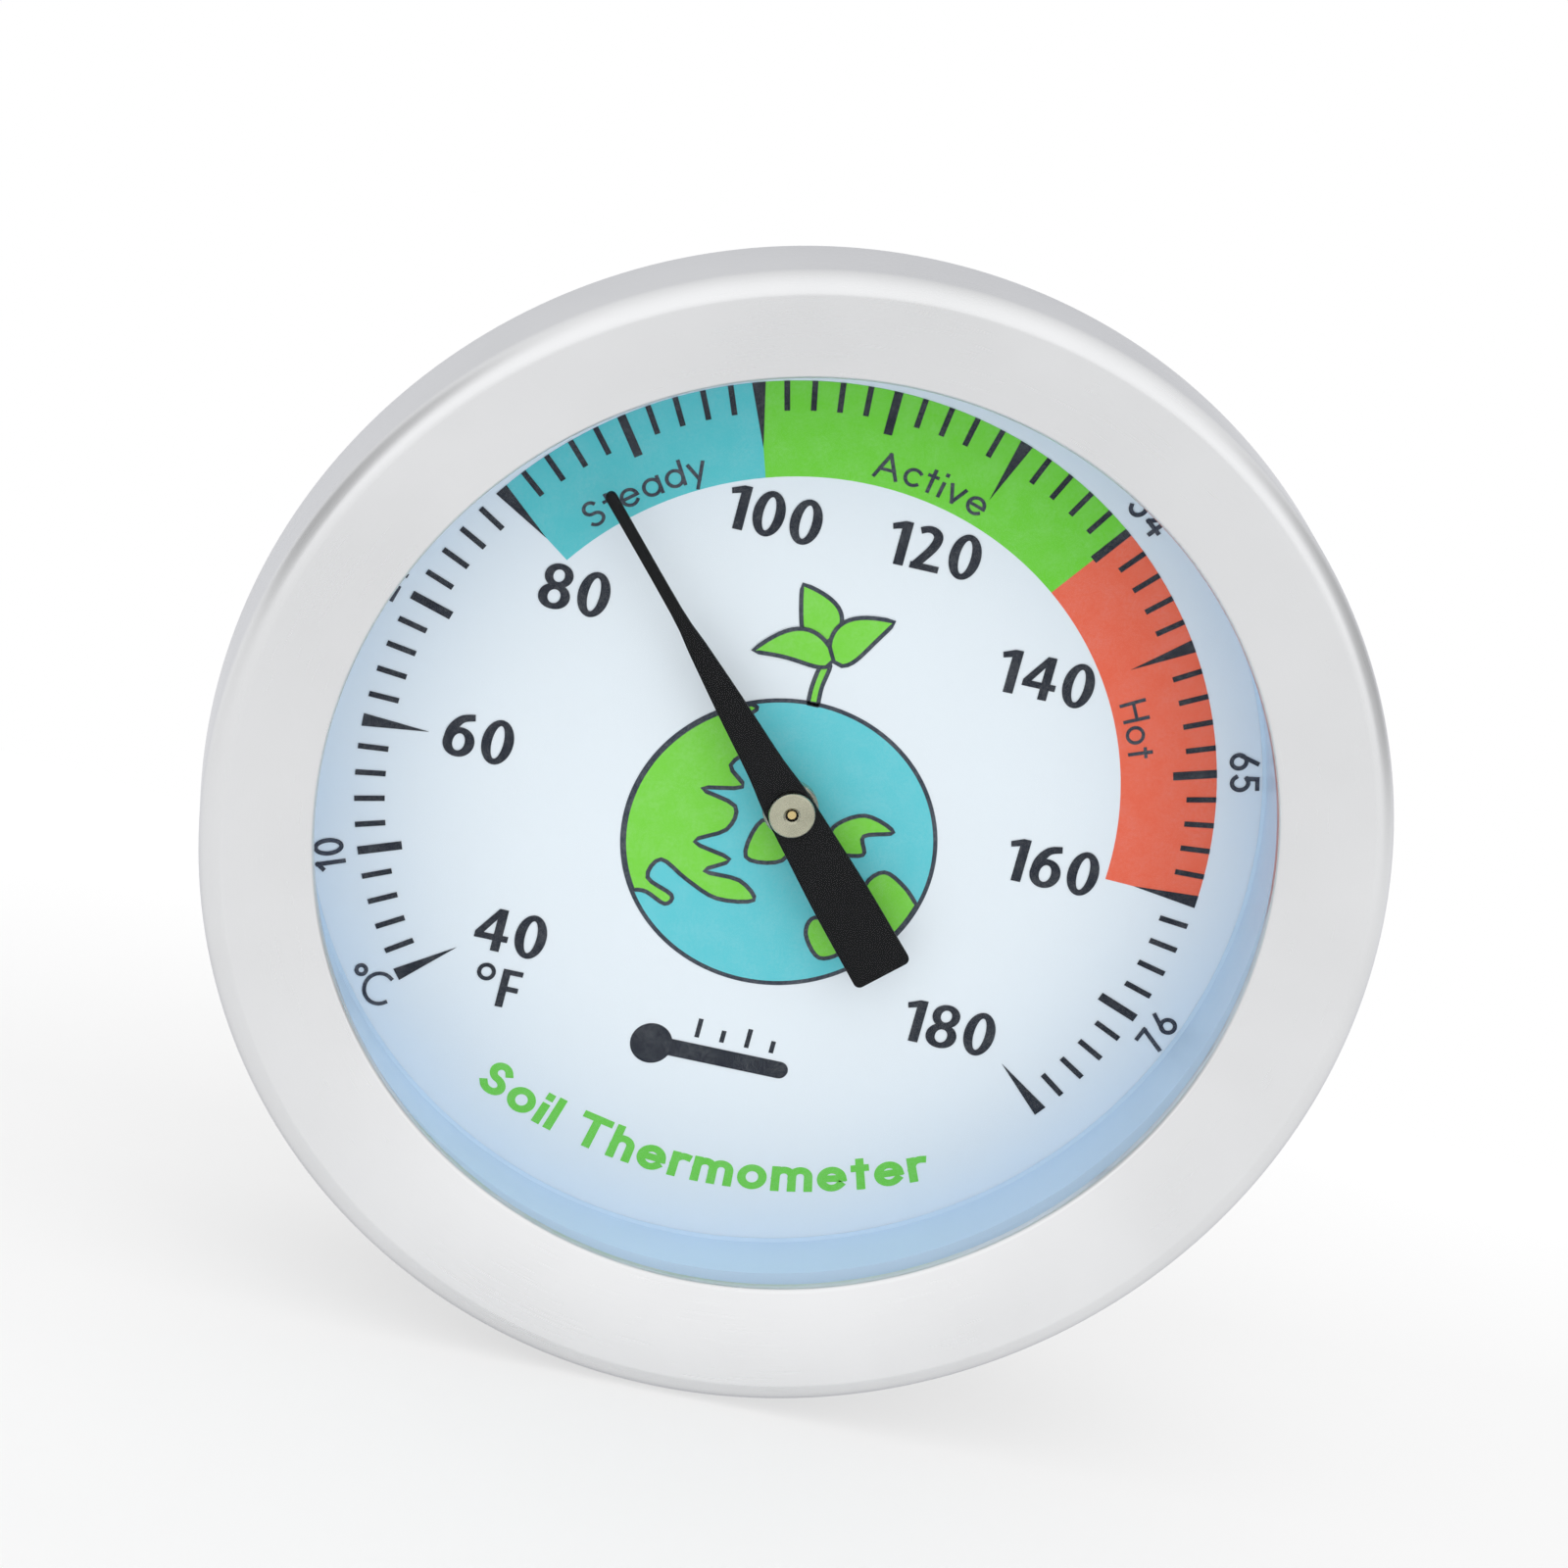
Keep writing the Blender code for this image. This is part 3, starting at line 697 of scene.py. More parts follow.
def lettering(text, height, pen, width=None, gap=LETTER_GAP):
    """A line of raised letters on y = 0, centred on x = 0.

    The pen and the gap are shares of a capital's height.
    """
    shape = bmesh.new()
    across = 0
    lift = 0
    for sign in text:
        advance, *strokes = LETTERS[sign]
        for stroke in strokes:
            ends = [Vector(stroke[0]), Vector(stroke[-1])]
            closed = len(stroke) > CLOSED_BOW_POINTS and (ends[0] - ends[1]).length < 0.01
            line = [Vector(point) for point in (stroke[:-1] if closed else stroke)]
            if not closed:
                line[0] += (line[0] - line[1]).normalized() * pen / 2
                line[-1] += (line[-1] - line[-2]).normalized() * pen / 2
            line = [(point.x + across, point.y) for point in line]
            merge(shape, ribbon(line, [pen] * len(line), lift, 1, closed))
            lift = (lift + PEN_STEP) % PEN_STEPS_END
        across += advance + pen + gap
    total = across - gap
    tall = height / (1 + pen)
    wide = width / total if width else tall
    bmesh.ops.translate(shape, vec=((pen - total) / 2, pen / 2, 0), verts=shape.verts)
    bmesh.ops.scale(shape, vec=(wide, tall, INK), verts=shape.verts)
    return shape


def print_straight(target, shape, centre, level):
    """Puts a line of letters on the dial with its baseline's middle at a point."""
    bmesh.ops.translate(shape, vec=(*centre, level), verts=shape.verts)
    merge(target, shape)


def print_round(target, shape, radius, middle_deg, level, tops_out=True, centre=(0, 0)):
    """Bends a line of letters so that its baseline is an arc about a centre."""
    side = 1 if tops_out else -1
    for vertex in shape.verts:
        angle = math.radians(middle_deg) - side * vertex.co.x / radius
        reach = radius + side * vertex.co.y
        vertex.co.x = centre[0] + reach * math.cos(angle)
        vertex.co.y = centre[1] + reach * math.sin(angle)
        vertex.co.z += level
    merge(target, shape)


# Head

def make_bezel():
    """The bezel: a steel pressing, dished in front towards the glass and rolled over the case behind."""
    radius, back, front = span("bezel_ring")
    wall = radius - BEZEL_SHEET
    crest = radius - BEZEL_ROUND
    opening_z = front - BEZEL_DISH
    profile = arc(crest, front - BEZEL_ROUND, BEZEL_ROUND, 90, 0, 14)
    rear_crest = radius - BEZEL_REAR_ROUND
    profile += arc(rear_crest, back + BEZEL_REAR_ROUND, BEZEL_REAR_ROUND, 0, -90, 10)
    profile += [
        (radius - BEZEL_LIP, back),
        (radius - BEZEL_LIP, back + BEZEL_SHEET),
        (rear_crest, back + BEZEL_SHEET),
        (wall, back + BEZEL_REAR_ROUND),
        (wall, front - BEZEL_ROUND),
        (crest, front - BEZEL_SHEET),
        (BEZEL_OPENING, opening_z - BEZEL_SHEET),
    ]
    edge_z = opening_z - INNER_EDGE_ROUND
    profile += arc(BEZEL_OPENING + INNER_EDGE_ROUND, edge_z, INNER_EDGE_ROUND, 180, 90, 6)
    piece("bezel_shell", turned(profile, FINE), bezel_steel, "head", "satin_stainless", "bezel_ring")


def make_lens():
    """The flat round glass with its edges broken."""
    radius, back, front = span("lens")
    profile = [
        (0, front), (radius - LENS_EDGE, front), (radius, front - LENS_EDGE),
        (radius, back + LENS_EDGE), (radius - LENS_EDGE, back), (0, back),
    ]
    piece("lens_pane", turned(profile, FINE, closed=False), glass, "head", "clear_glass", "lens")


def make_rings_under_lens():
    """The gasket at the glass's rim, and the spacer whose thin lip stands in front of it."""
    radius, back, front = span("lens_gasket")
    gasket = ring(radius, GASKET_OPENING, back, front, FINE, GASKET_EDGE)
    piece("gasket_ring", gasket, rubber, "head", "black_rubber", "lens_gasket")
    radius = span("spacer_ring")[0]
    lip_r = SPACER_OPENING + SPACER_LIP
    lip_top = span("lens")[1] - SEAT
    shelf = span("case_cup")[2]
    profile = arc(lip_r - EDGE_BREAK, lip_top - EDGE_BREAK, EDGE_BREAK, 90, 0, 3)
    profile += [
        (lip_r, shelf),
        (radius, shelf),
        (radius, SEAT),
        (SPACER_OPENING - SPACER_FOOT, SEAT),
        (SPACER_OPENING, SEAT + SPACER_FOOT),
        (SPACER_OPENING, lip_top - SPACER_BEVEL),
        (SPACER_OPENING + SPACER_BEVEL, lip_top),
    ]
    wall = turned(profile, FINE)
    piece("spacer_wall", wall, spacer_plastic_blue_shade, "head", "pale_plastic", "spacer_ring")


def make_case():
    """The drawn cup: a lip for the bezel, a round corner and a stiffening bead in its back."""
    lip_radius, back, front = span("case_cup")
    inside = CASE_RADIUS - CASE_SHEET
    corner_r = CASE_RADIUS - CASE_CORNER
    corner_z = back + CASE_CORNER
    hole = span("stem_neck")[0] - CASE_HOLE_INSIDE_NECK_FLANGE
    flange = front - CASE_SHEET
    floor_z = back + CASE_SHEET
    inner_foot = CASE_BEAD_FOOT + CASE_BEAD_BEND
    inner_crest = CASE_BEAD_CREST + CASE_BEAD_BEND
    profile = [
        (lip_radius, front),
        (lip_radius, flange),
        (CASE_RADIUS + CASE_FLANGE_BEND, flange),
        (CASE_RADIUS, flange - CASE_FLANGE_BEND),
    ]
    profile += arc(corner_r, corner_z, CASE_CORNER, 0, -90, 12)
    profile += [
        (CASE_BEAD + CASE_BEAD_FOOT, back),
        (CASE_BEAD + CASE_BEAD_CREST, back + CASE_BEAD_DEPTH),
        (CASE_BEAD - CASE_BEAD_CREST, back + CASE_BEAD_DEPTH),
        (CASE_BEAD - CASE_BEAD_FOOT, back),
        (hole, back),
        (hole, floor_z),
        (CASE_BEAD - inner_foot, floor_z),
        (CASE_BEAD - inner_crest, floor_z + CASE_BEAD_DEPTH),
        (CASE_BEAD + inner_crest, floor_z + CASE_BEAD_DEPTH),
        (CASE_BEAD + inner_foot, floor_z),
    ]
    profile += arc(corner_r, corner_z, CASE_CORNER - CASE_SHEET, -90, 0, 8)
    profile.append((inside, front))
    piece("case_shell", turned(profile, FINE), case_steel, "head", "satin_stainless", "case_cup")


def make_dial_plate():
    """The dial's sheet with the hole for the pointer's shaft."""
    radius, back, front = span("dial_plate")
    plate = ring(radius, DIAL_HOLE, back, front, FINE)
    piece("dial_sheet", plate, dial_enamel, "head", "dial_enamel", "dial_plate")


# Dial print, all riding on the head

def printed(name, shape, material):
    """A patch of print on the dial's sheet."""
    piece(name, shape, material, "head", "dial_enamel", smooth_deg=0)


def make_zones():
    """The coloured bands behind the scale."""
    inks = {"cool": blue_ink, "mild": green_ink, "hot": red_ink}
    for name, low, high in ZONES:
        start = math.radians(scale_angle(high))
        sweep = math.radians((high - low) * DEG_PER_F)
        shape = bmesh.new()
        section = [shape.verts.new((r, 0, z)) for r, z in (
            (ZONE_INNER, FIRST_COAT), (SCALE_RIM, FIRST_COAT),
            (SCALE_RIM, SECOND_COAT), (ZONE_INNER, SECOND_COAT),
        )]
        edges = [shape.edges.new((section[i], section[(i + 1) % 4])) for i in range(4)]
        bmesh.ops.spin(
            shape, geom=section + edges, cent=(0, 0, 0), axis=(0, 0, 1),
            angle=sweep, steps=high - low,
        )
        bmesh.ops.holes_fill(shape, edges=shape.edges, sides=4)
        bmesh.ops.recalc_face_normals(shape, faces=shape.faces)
        turn = Matrix.Rotation(start, 3, "Z")
        bmesh.ops.rotate(shape, cent=(0, 0, 0), matrix=turn, verts=shape.verts)
        printed(f"zone_{name}", shape, inks[name])


def make_scale():
    """A mark for every second degree, wider at the tens and a wedge at every twentieth."""
    marks = bmesh.new()
    for reading in range(SCALE_LOW, SCALE_HIGH + 1, 2):
        angle = scale_angle(reading)
        turn = Matrix.Rotation(math.radians(angle), 2)
        if reading % 20 == 0:
            half = WEDGE_WIDTH / 2
            outline = [(WEDGE_TIP, 0), (SCALE_RIM, -half), (SCALE_RIM, half)]
        else:
            inner, width = MEDIUM_TICK if reading % 10 == 0 else MINOR_TICK
            half = width / 2
            outline = [(inner, -half), (SCALE_RIM, -half), (SCALE_RIM, half), (inner, half)]
        merge(marks, slab([tuple(turn @ Vector(p)) for p in outline], TOP_COAT))
    printed("scale_marks", marks, slate_ink)


def make_numerals():
    """The heavy Fahrenheit numbers inside the scale and the thin Celsius ones outside it."""
    numerals = bmesh.new()
    for text, x, y in (
        ("40", -10.9, -9.3), ("60", -14.6, -0.35), ("80", -12.0, 7.55), ("100", -4.05, 13.1),
        ("120", 3.5, 13.15), ("140", 10.15, 8.35), ("160", 12.9, -0.5), ("180", 10.28, -9.35),
    ):
        print_number(numerals, text, (x * MM, y * MM), NUMERAL_HEIGHT, TOP_COAT)
    unit = bmesh.new()
    oval_ring(unit, (0.23, 0.83), (0.23, 0.23), (0.13, 0.13))
    block(unit, (0.63, 0), (0.82, 0), (0.82, 1), (0.63, 1))
    block(unit, (0.63, 0.87), (1.13, 0.87), (1.13, 1), (0.63, 1))
    block(unit, (0.63, 0.43), (1.1, 0.43), (1.1, 0.56), (0.63, 0.56))
    bmesh.ops.scale(unit, vec=(UNIT_HEIGHT, UNIT_HEIGHT, INK), verts=unit.verts)
    bmesh.ops.translate(unit, vec=(*UNIT_CORNER, TOP_COAT), verts=unit.verts)
    merge(numerals, unit)
    printed("fahrenheit_numerals", numerals, slate_ink)
    celsius = bmesh.new()
    for reading in CELSIUS_READINGS:
        number = lettering(str(int((reading - 32) / 1.8)), CELSIUS_HEIGHT, CELSIUS_PEN)
        tops_out = reading < INWARD_FROM
        base = CELSIUS_BASE if tops_out else CELSIUS_BASE + CELSIUS_HEIGHT
        print_round(celsius, number, base, scale_angle(reading), TOP_COAT, tops_out=tops_out)
    unit = lettering("C", CELSIUS_UNIT_HEIGHT, CELSIUS_UNIT_PEN)
    print_straight(celsius, unit, CELSIUS_UNIT_FOOT, TOP_COAT)
    degree = bmesh.new()
    oval_ring(degree, *DEGREE_RING)
    bmesh.ops.scale(degree, vec=(MM, MM, INK), verts=degree.verts)
    bmesh.ops.translate(degree, vec=(0, 0, TOP_COAT), verts=degree.verts)
    merge(celsius, degree)
    printed("celsius_numerals", celsius, fine_ink)


def make_words():
    """A word on each coloured band, and the title along the foot of the dial."""
    words = bmesh.new()
    for text, middle, width in (
        ("Steady", 128.1, 5.75), ("Active", 81.0, 5.4), ("Hot", 24.8, 2.75),
    ):
        line = lettering(text, WORD_HEIGHT, WORD_PEN, width=width * MM, gap=WORD_GAP)
        print_round(words, line, WORD_BASE, middle, TOP_COAT)
    printed("zone_words", words, line_ink)
    title = lettering("Soil Thermometer", TITLE_HEIGHT, TITLE_PEN, TITLE_WIDTH, TITLE_GAP)
    bent = bmesh.new()
    print_round(bent, title, TITLE_RADIUS, -90, FIRST_COAT, tops_out=False, centre=TITLE_CENTRE)
    printed("title_words", bent, title_ink)


def globe_point(degrees, reach=1.0):
    """A point on the globe's rim, or at a share of the way out to it."""
    angle = math.radians(degrees)
    return (
        GLOBE_CENTRE[0] + reach * GLOBE_RADII[0] * math.cos(angle),
        GLOBE_CENTRE[1] + reach * GLOBE_RADII[1] * math.sin(angle),
    )


def outlined(name, outline, fill, level):
    """A filled shape with a dark line drawn round its edge."""
    printed(f"{name}_fill", slab(outline, level), fill)
    line = ribbon(outline, [OUTLINE] * len(outline), level + INK, INK / 2, closed=True)
    printed(f"{name}_line", line, line_ink)


# Coasts of the two lands that reach the globe's rim, each from its stretch of rim's end to its start
WEST_COAST = (
    (-5.3, -5.9), (-4.3, -6.3), (-4.1, -5.8), (-5.4, -5.2), (-5.0, -4.2), (-3.6, -4.9), (-2.0, -5.5),
    (-0.3, -5.2), (-1.2, -4.4), (-2.9, -4.3), (-1.9, -3.5), (-3.7, -3.0), (-2.4, -2.1), (-2.3, -0.9),
    (-4.0, -0.4), (-2.2, 0.1), (-3.0, 1.0), (-2.2, 2.2), (-3.2, 3.0), (-2.5, 3.9),
)
EAST_COAST = ((6.4, -3.0), (5.3, -2.5), (4.6, -3.3), (5.0, -4.6), (4.5, -5.9))
ISLES = (
    ("isle_mid", ((-0.9, -1.3), (0.6, -1.5), (0.5, -3.0), (-1.2, -3.2))),
    ("isle_north", ((2.4, -0.9), (3.7, 0.0), (5.2, -0.5), (3.9, -1.0), (4.1, -1.9), (2.7, -2.0))),
    ("isle_south", ((2.7, -5.4), (4.1, -5.6), (4.4, -6.7), (3.4, -7.3), (2.5, -6.3))),
)


def make_globe():
    """A cartoon globe: a sea, two lands at its rim and three isles."""
    rim = [globe_point(d) for d in range(0, 360, GLOBE_STEP_DEG)]
    outlined("globe", rim, sea_ink, FIRST_COAT)
    for name, coast, start, end in (("west", WEST_COAST, 114, 216), ("east", EAST_COAST, -40, -10)):
        rim_side = [globe_point(d, 0.99) for d in range(start, end, GLOBE_STEP_DEG)]
        shore = [(x * MM, y * MM) for x, y in coast]
        outline = rim_side + smooth_line([rim_side[-1], *shore, rim_side[0]], 4)[1:-1]
        outlined(f"land_{name}", outline, leaf_ink, TOP_COAT)
    for name, shore in ISLES:
        outline = smooth_line([(x * MM, y * MM) for x, y in reversed(shore)], 5, cyclic=True)
        outlined(name, outline, leaf_ink, TOP_COAT)


def leaf_outline(base, tip, half_width, bend):
    """A pointed oval from base to tip, its middle pushed sideways by bend."""
    base = Vector(base) * MM
    tip = Vector(tip) * MM
    along = tip - base
    side = Vector((-along.y, along.x)).normalized()
    right = []
    left = []
    for i in range(LEAF_STEPS + 1):
        t = i / LEAF_STEPS
        middle = base + along * t + side * bend * MM * math.sin(math.pi * t)
        half = half_width * MM * math.sin(math.pi * t ** LEAF_BELLY) ** LEAF_FULLNESS
        if i in (0, LEAF_STEPS):
            half = 0
        right.append(tuple(middle - side * half))
        left.append(tuple(middle + side * half))
    return right + left[-2:0:-1]


def make_sprout():
    """A seedling of three leaves that grows from the globe."""
    sides = [(-0.27, 4.7), (-0.3, 5.6), (-0.13, 6.7), (0.27, 6.7), (0.15, 5.6), (0.2, 4.7)]
    stalk = [(x * MM, y * MM) for x, y in reversed(smooth_line(sides, 4))]
    outlined("stalk", stalk, leaf_ink, FIRST_COAT)
    leaves = (
        ("leaf_top", (-0.3, 7.6), (-1.93, 10.2), 0.95, -0.3, 0.5),
        ("leaf_right", (0.3, 6.95), (2.6, 9.4), 0.9, 0.4, 2.0),
        ("leaf_left", (0.33, 7.0), (-3.38, 6.62), 0.8, -0.55, 3.5),
    )
    for name, base, tip, half_width, bend, level in leaves:
        outlined(name, leaf_outline(base, tip, half_width, bend), leaf_ink, level * INK)


def make_pictogram():
    """A plain thermometer sign under the globe: a bulb and a tube with four marks."""
    sign = bmesh.new()
    bulb_x, bulb_radius = SIGN_BULB
    start, end, half = SIGN_TUBE
    shapes = [
        (arc(bulb_x, 0, bulb_radius, 0, 351, 39), FIRST_COAT),
        ([(start, -half)] + arc(end, 0, half, -90, 90, 12) + [(start, half)], SECOND_COAT),
    ]
    foot = SIGN_MARK_FOOT
    for x, tall in SIGN_MARKS:
        left = x - SIGN_MARK_HALF
        right = x + SIGN_MARK_HALF
        mark = [(left, foot), (right, foot), (right, foot + tall), (left, foot + tall)]
        shapes.append((mark, FIRST_COAT))
    for outline, level in shapes:
        merge(sign, slab([tuple((SIGN_CENTRE + Vector(point)) * MM) for point in outline], level))
    printed("thermometer_sign", sign, slate_ink)


# Pointer

def make_pointer():
    """The pointer: a long thin tip that widens to a square tail."""
    _, back, front = span("pointer")
    tip_x, tip_half = POINTER_HALF_WIDTHS[0]
    tail_half = POINTER_HALF_WIDTHS[-1][1]
    upper = arc(tip_x, 0, tip_half, 0, 90, 8)[:-1]
    upper += smooth_line(POINTER_HALF_WIDTHS, 3)[:-1]
    upper += arc(POINTER_TAIL + TAIL_CORNER, tail_half - TAIL_CORNER, TAIL_CORNER, 90, 180, 6)
    lower = [(x, -y) for x, y in reversed(upper) if y > 1e-6]
    shape = slab(upper + lower, back, front - back)
    rims = [e for e in shape.edges if abs(e.verts[0].co.z - e.verts[1].co.z) < 1e-7]
    bmesh.ops.bevel(
        shape, geom=rims, offset=POINTER_EDGE, segments=2, profile=0.5, affect="EDGES", material=-1
    )
    turn = Matrix.Rotation(math.radians(POINTER_DEG), 3, "Z")
    bmesh.ops.rotate(shape, cent=(0, 0, 0), matrix=turn, verts=shape.verts)
    piece("pointer_needle", shape, black_paint, "pointer", "black_paint", "pointer")


def make_hub():
    """The turned hub that grips the pointer between its head and its flange."""
    flange, back, front = span("pointer_hub")
    _, plate_back, plate_front = span("pointer")
    over = plate_front + HUB_EDGE
    under = plate_back - HUB_EDGE
    profile = arc(HUB_RADIUS - HUB_EDGE, front - HUB_EDGE, HUB_EDGE, 90, 0, 4)
    profile += [(HUB_RADIUS, over), (HUB_NECK, over), (HUB_NECK, under), (flange - HUB_EDGE, under)]
    profile += [(flange, under - HUB_EDGE), (flange, back), (HUB_BORE, back)]
    profile += [(HUB_BORE, front - HUB_MOUTH_DEPTH), (HUB_BORE + HUB_EDGE, front)]
    piece("hub_boss", turned(profile, MEDIUM), nickel, "pointer", "nickel", "pointer_hub")


# Stem and its fittings

def make_nut():
    """The hexagon from the frame with its edges broken."""
    shape = bmesh.new()
    shape.from_mesh(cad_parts["hex_nut"].data)
    bmesh.ops.remove_doubles(shape, verts=shape.verts, dist=1e-7)
    flat = math.radians(1)
    bmesh.ops.dissolve_limit(shape, angle_limit=flat, verts=shape.verts, edges=shape.edges)
    sharp = [e for e in shape.edges if e.calc_face_angle(0) > math.radians(25)]
    bmesh.ops.bevel(
        shape, geom=sharp, offset=EDGE_BREAK, segments=2, profile=0.5, affect="EDGES",
        clamp_overlap=True, material=-1,
    )
    bmesh.ops.transform(shape, matrix=TO_ROW.inverted(), verts=shape.verts)
    piece("calibration_nut", shape, nut_steel, "stem", "satin_stainless", "hex_nut")


def make_fittings():
    """The seal behind the case and the sleeve that carries the stem through it."""
    radius, back, front = span("seal_washer")
    seal = ring(radius, SEAL_BORE, back, front, MEDIUM, SEAL_EDGE)
    piece("seal_ring", seal, rubber, "stem", "black_rubber", "seal_washer")
    flange, back, front = span("stem_neck")
    flange_back = front - NECK_FLANGE
    bore = span("stem_tube")[0] + SEAT
    profile = [
        (flange, front), (flange, flange_back), (NECK_RADIUS, flange_back),
        (NECK_RADIUS, back + NECK_CHAMFER), (NECK_RADIUS - NECK_CHAMFER, back),
        (bore, back), (bore, front),
    ]
    sleeve = turned(profile, MEDIUM)
    piece("neck_sleeve", sleeve, nut_steel, "stem", "satin_stainless", "stem_neck")


def make_stem():
    """The drawn tube and its point."""
    radius, back, front = span("stem_tube")
    tube = ring(radius, radius - TUBE_SHEET, back, front, MEDIUM, TUBE_EDGE)
    piece("stem_pipe", tube, stem_steel, "stem", "stem_stainless", "stem_tube")
    radius, nose, spigot_top = span("stem_tip")
    shoulder = back - 2 * SEAT
    profile = [
        (0, spigot_top),
        (TIP_SPIGOT, spigot_top),
        (TIP_SPIGOT, shoulder),
        (radius - TIP_SHOULDER_EDGE, shoulder),
        (radius, shoulder - TIP_SHOULDER_EDGE),
        (radius, shoulder - TIP_TAPER_START),
        (radius - TIP_TAPER_STEP, shoulder - TIP_TAPER_TURN),
    ]
    profile += arc(0, nose + TIP_NOSE, TIP_NOSE, -15, -90, 6)[:-1]
    profile.append((0, nose))
    point = turned(profile, MEDIUM, closed=False)
    piece("stem_point", point, stem_steel, "stem", "stem_stainless", "stem_tip")


def finish_inner_nodes():
    """Gives the pieces sealed inside the head and stem, which keep their CAD shape, their finish."""
    finishes = {
        "pointer_shaft": brass,
        "coil_collar": brass,
        "coil_anchor": brass,
        "bimetal_coil": bimetal,
        "wave_washer": spring_steel,
        "dial_support_ring": spacer_plastic_blue_shade,
        "upper_guide_bush": nylon,
        "middle_guide_bush": nylon,
        "lower_guide_bush": nylon,
    }
    for name, material in finishes.items():
        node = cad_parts[name]
        for index in range(len(node.material_slots)):
            node.material_slots[index].material = material


# Stage

CAMERA_FROM_DIAL = Vector((-41.7, -249.3, 81.0)) * MM
CAMERA_VIEW = Vector((0.1559, 0.9401, -0.303))
CAMERA_UP = Vector((-0.2122, 0.3315, 0.9193))
CAMERA_LENS = 131.8
SENSOR = 36.0
HEAD_DEPTH_IN_VIEW = 60 * MM
TENT_FRONT = 1.2
TENT_BACK = 0.92
FLOOR_GLOW = 0.545
FAR_FLOOR_GLOW = 0.62
FLOOR_HALF = 4.0
FLAG_START = 0.68
FLAG_FULL = 0.92
FLAG_SHADE = 0.5
OVERHEAD_PLACE = Vector((-0.1, -0.1, 0.8))
OVERHEAD_SIZE = 0.9
OVERHEAD_POWER = 1.6


def make_camera():
    """Close on the dial; what lies well behind the head is past the camera's far limit."""
    data = bpy.data.cameras.new("camera")
    data.lens = CAMERA_LENS
    data.sensor_width = SENSOR
    camera = bpy.data.objects.new("camera", data)
    bpy.context.scene.collection.objects.link(camera)
    view = CAMERA_VIEW.normalized()
    right = view.cross(CAMERA_UP).normalized()
    up = right.cross(view)
    turn = Matrix((right, up, -view)).transposed().to_4x4()
    place = Vector((0, DIAL_FACE, 0)) + CAMERA_FROM_DIAL
    camera.matrix_world = Matrix.Translation(place) @ turn
    data.clip_start = 0.01
    data.clip_end = CAMERA_FROM_DIAL.length + HEAD_DEPTH_IN_VIEW
    bpy.context.scene.camera = camera


def make_floor():
    """A pale glowing floor under the bezel's lowest point, whiter behind the head."""
    shape = bmesh.new()
    bmesh.ops.create_grid(shape, x_segments=2, y_segments=2, size=FLOOR_HALF)
    mesh = bpy.data.meshes.new("floor")
    shape.to_mesh(mesh)
    shape.free()
    look = Look("floor_paint", (0.33, 0.33, 0.33), 0.8, Emission_Color=(1, 1, 1, 1))
    along = look.node("ShaderNodeSeparateXYZ", [(0, look.place())]).outputs["Y"]
    glow = look.remap(along, FLOOR_GLOW, FAR_FLOOR_GLOW, 0.0, HEAD_DEPTH_IN_VIEW / 2)
    look.set(look.shader, "Emission Strength", glow)
    paper = look.noise(look.place(), 60.0, 3.0)
    look.rough(look.remap(paper, 0.75, 0.85))
    mesh.materials.append(look.material)
    floor = bpy.data.objects.new("floor", mesh)
    floor.location = (0, 0, cad_box[0][2] - SEAT)
    bpy.context.scene.collection.objects.link(floor)


def make_overhead_light():
    """A square soft light above the head, which the steel doesn't mirror."""
    data = bpy.data.lights.new("overhead", "AREA")
    data.shape = "SQUARE"
    data.size = OVERHEAD_SIZE
    data.energy = OVERHEAD_POWER
    light = bpy.data.objects.new("overhead", data)
    light.location = OVERHEAD_PLACE
    light.rotation_euler = (-OVERHEAD_PLACE).to_track_quat("-Z", "Y").to_euler()
    light.visible_glossy = False
    bpy.context.scene.collection.objects.link(light)


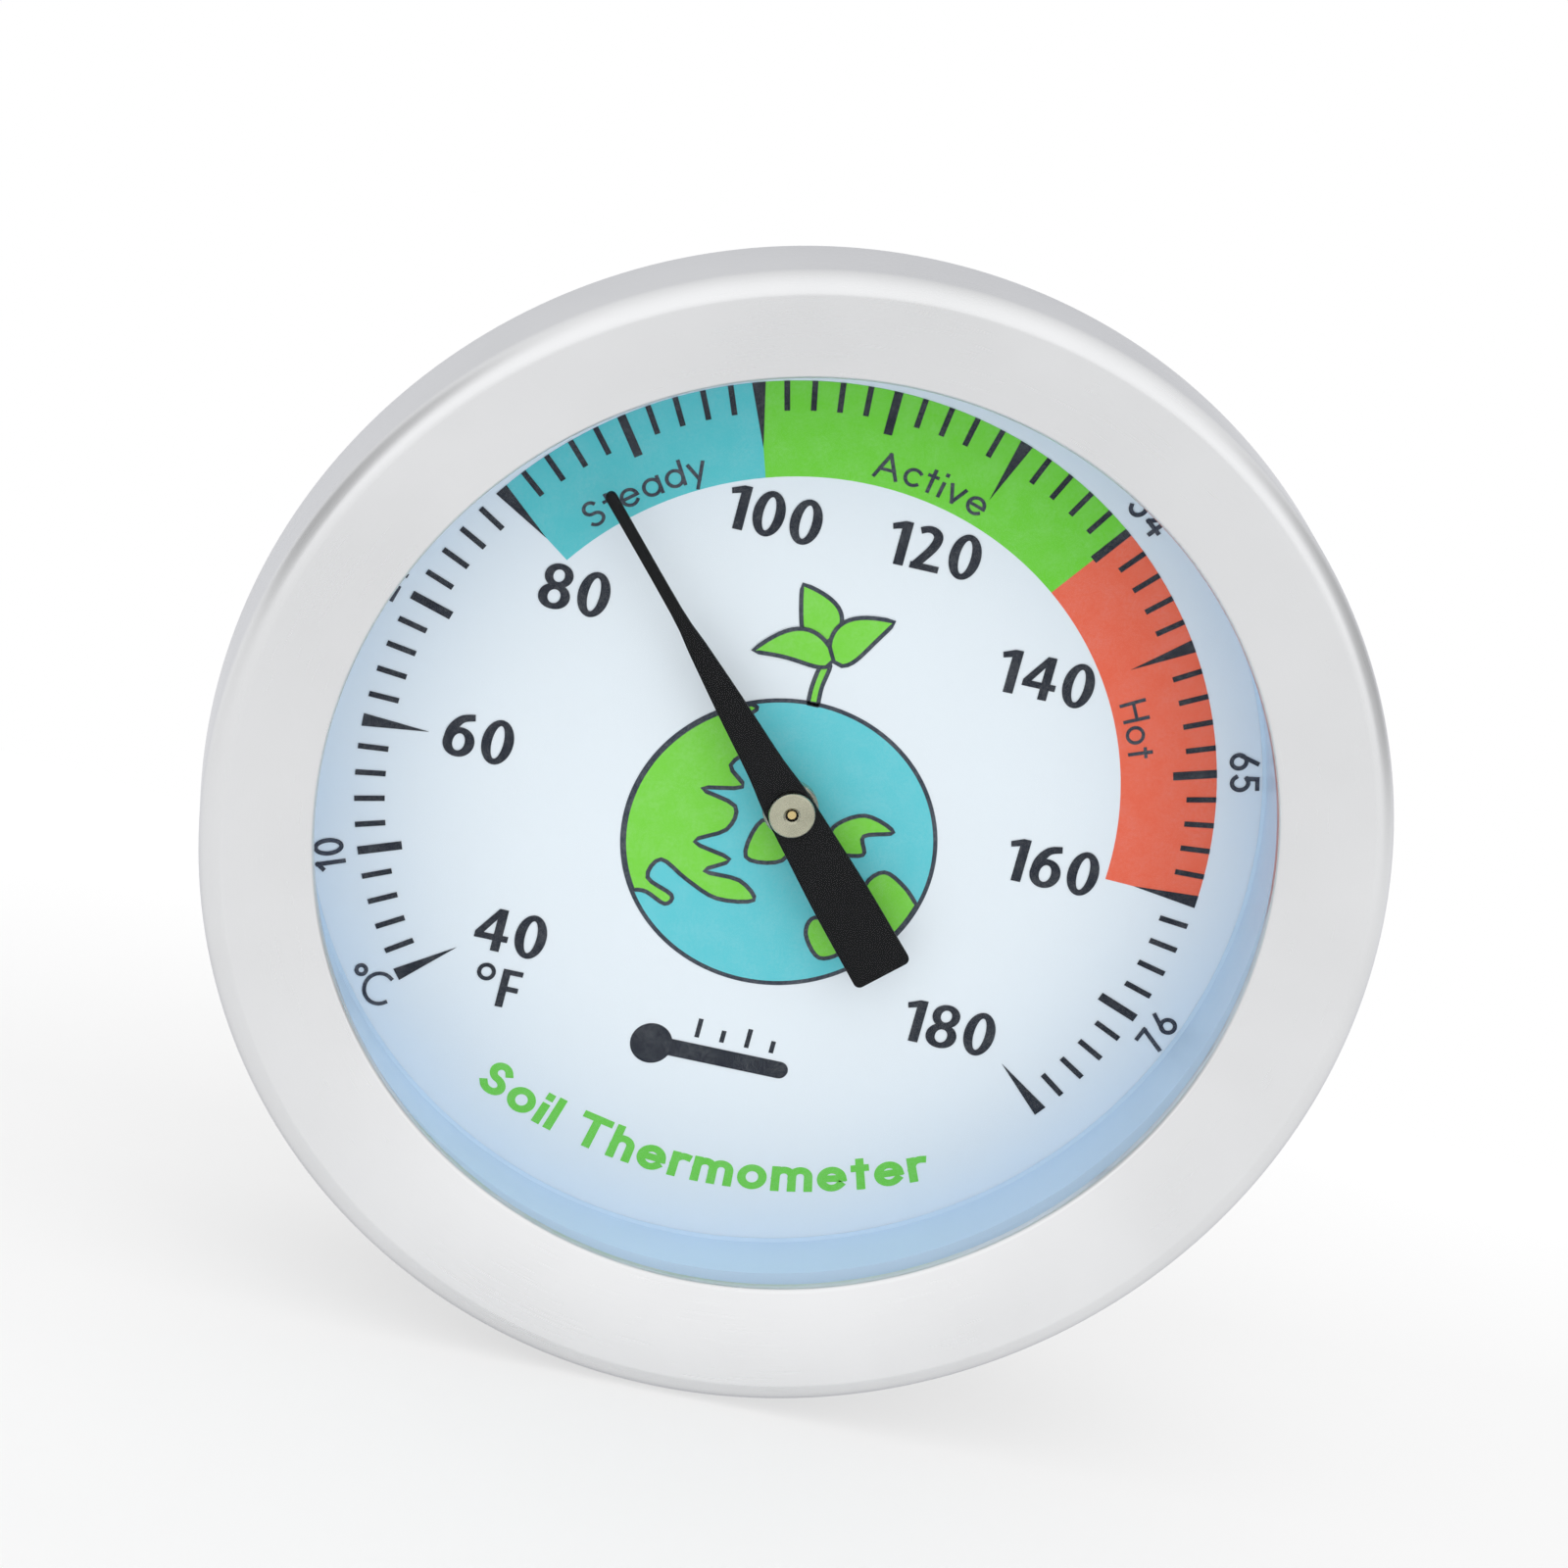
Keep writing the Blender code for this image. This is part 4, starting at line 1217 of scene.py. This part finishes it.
def make_tent():
    """A bright tent, fuller before the dial than behind, with grey flags at the sides for the steel."""
    world = bpy.data.worlds.new("studio")
    world.use_nodes = True
    tree = world.node_tree
    tent = tree.nodes["Background"]
    tent.inputs["Color"].default_value = (1, 1, 1, 1)
    direction = tree.nodes.new("ShaderNodeSeparateXYZ")
    tree.links.new(tree.nodes.new("ShaderNodeTexCoord").outputs["Generated"], direction.inputs[0])

    def ramp(value, start, end, low, high):
        node = tree.nodes.new("ShaderNodeMapRange")
        node.interpolation_type = "SMOOTHSTEP"
        tree.links.new(value, node.inputs["Value"])
        for socket, setting in (
            ("From Min", start), ("From Max", end), ("To Min", low), ("To Max", high),
        ):
            node.inputs[socket].default_value = setting
        return node.outputs[0]

    def combine(operation, *values):
        node = tree.nodes.new("ShaderNodeMath")
        node.operation = operation
        for index, value in enumerate(values):
            tree.links.new(value, node.inputs[index])
        return node.outputs[0]

    fore_and_aft = ramp(direction.outputs["Y"], -1, 1, TENT_FRONT, TENT_BACK)
    sideways = combine("ABSOLUTE", direction.outputs["X"])
    flags = ramp(sideways, FLAG_START, FLAG_FULL, 1, FLAG_SHADE)
    tree.links.new(combine("MULTIPLY", fore_and_aft, flags), tent.inputs["Strength"])
    white = tree.nodes.new("ShaderNodeBackground")
    white.inputs["Color"].default_value = (1, 1, 1, 1)
    choose = tree.nodes.new("ShaderNodeMixShader")
    tree.links.new(tree.nodes.new("ShaderNodeLightPath").outputs["Is Camera Ray"], choose.inputs[0])
    tree.links.new(tent.outputs[0], choose.inputs[1])
    tree.links.new(white.outputs[0], choose.inputs[2])
    tree.links.new(choose.outputs[0], tree.nodes["World Output"].inputs["Surface"])
    bpy.context.scene.world = world
    bpy.context.scene.view_settings.view_transform = "Standard"


make_bezel()
make_lens()
make_rings_under_lens()
make_case()
make_dial_plate()
make_zones()
make_scale()
make_numerals()
make_words()
make_globe()
make_sprout()
make_pictogram()
make_pointer()
make_hub()
make_nut()
make_fittings()
make_stem()
finish_inner_nodes()
make_camera()
make_floor()
make_tent()
make_overhead_light()
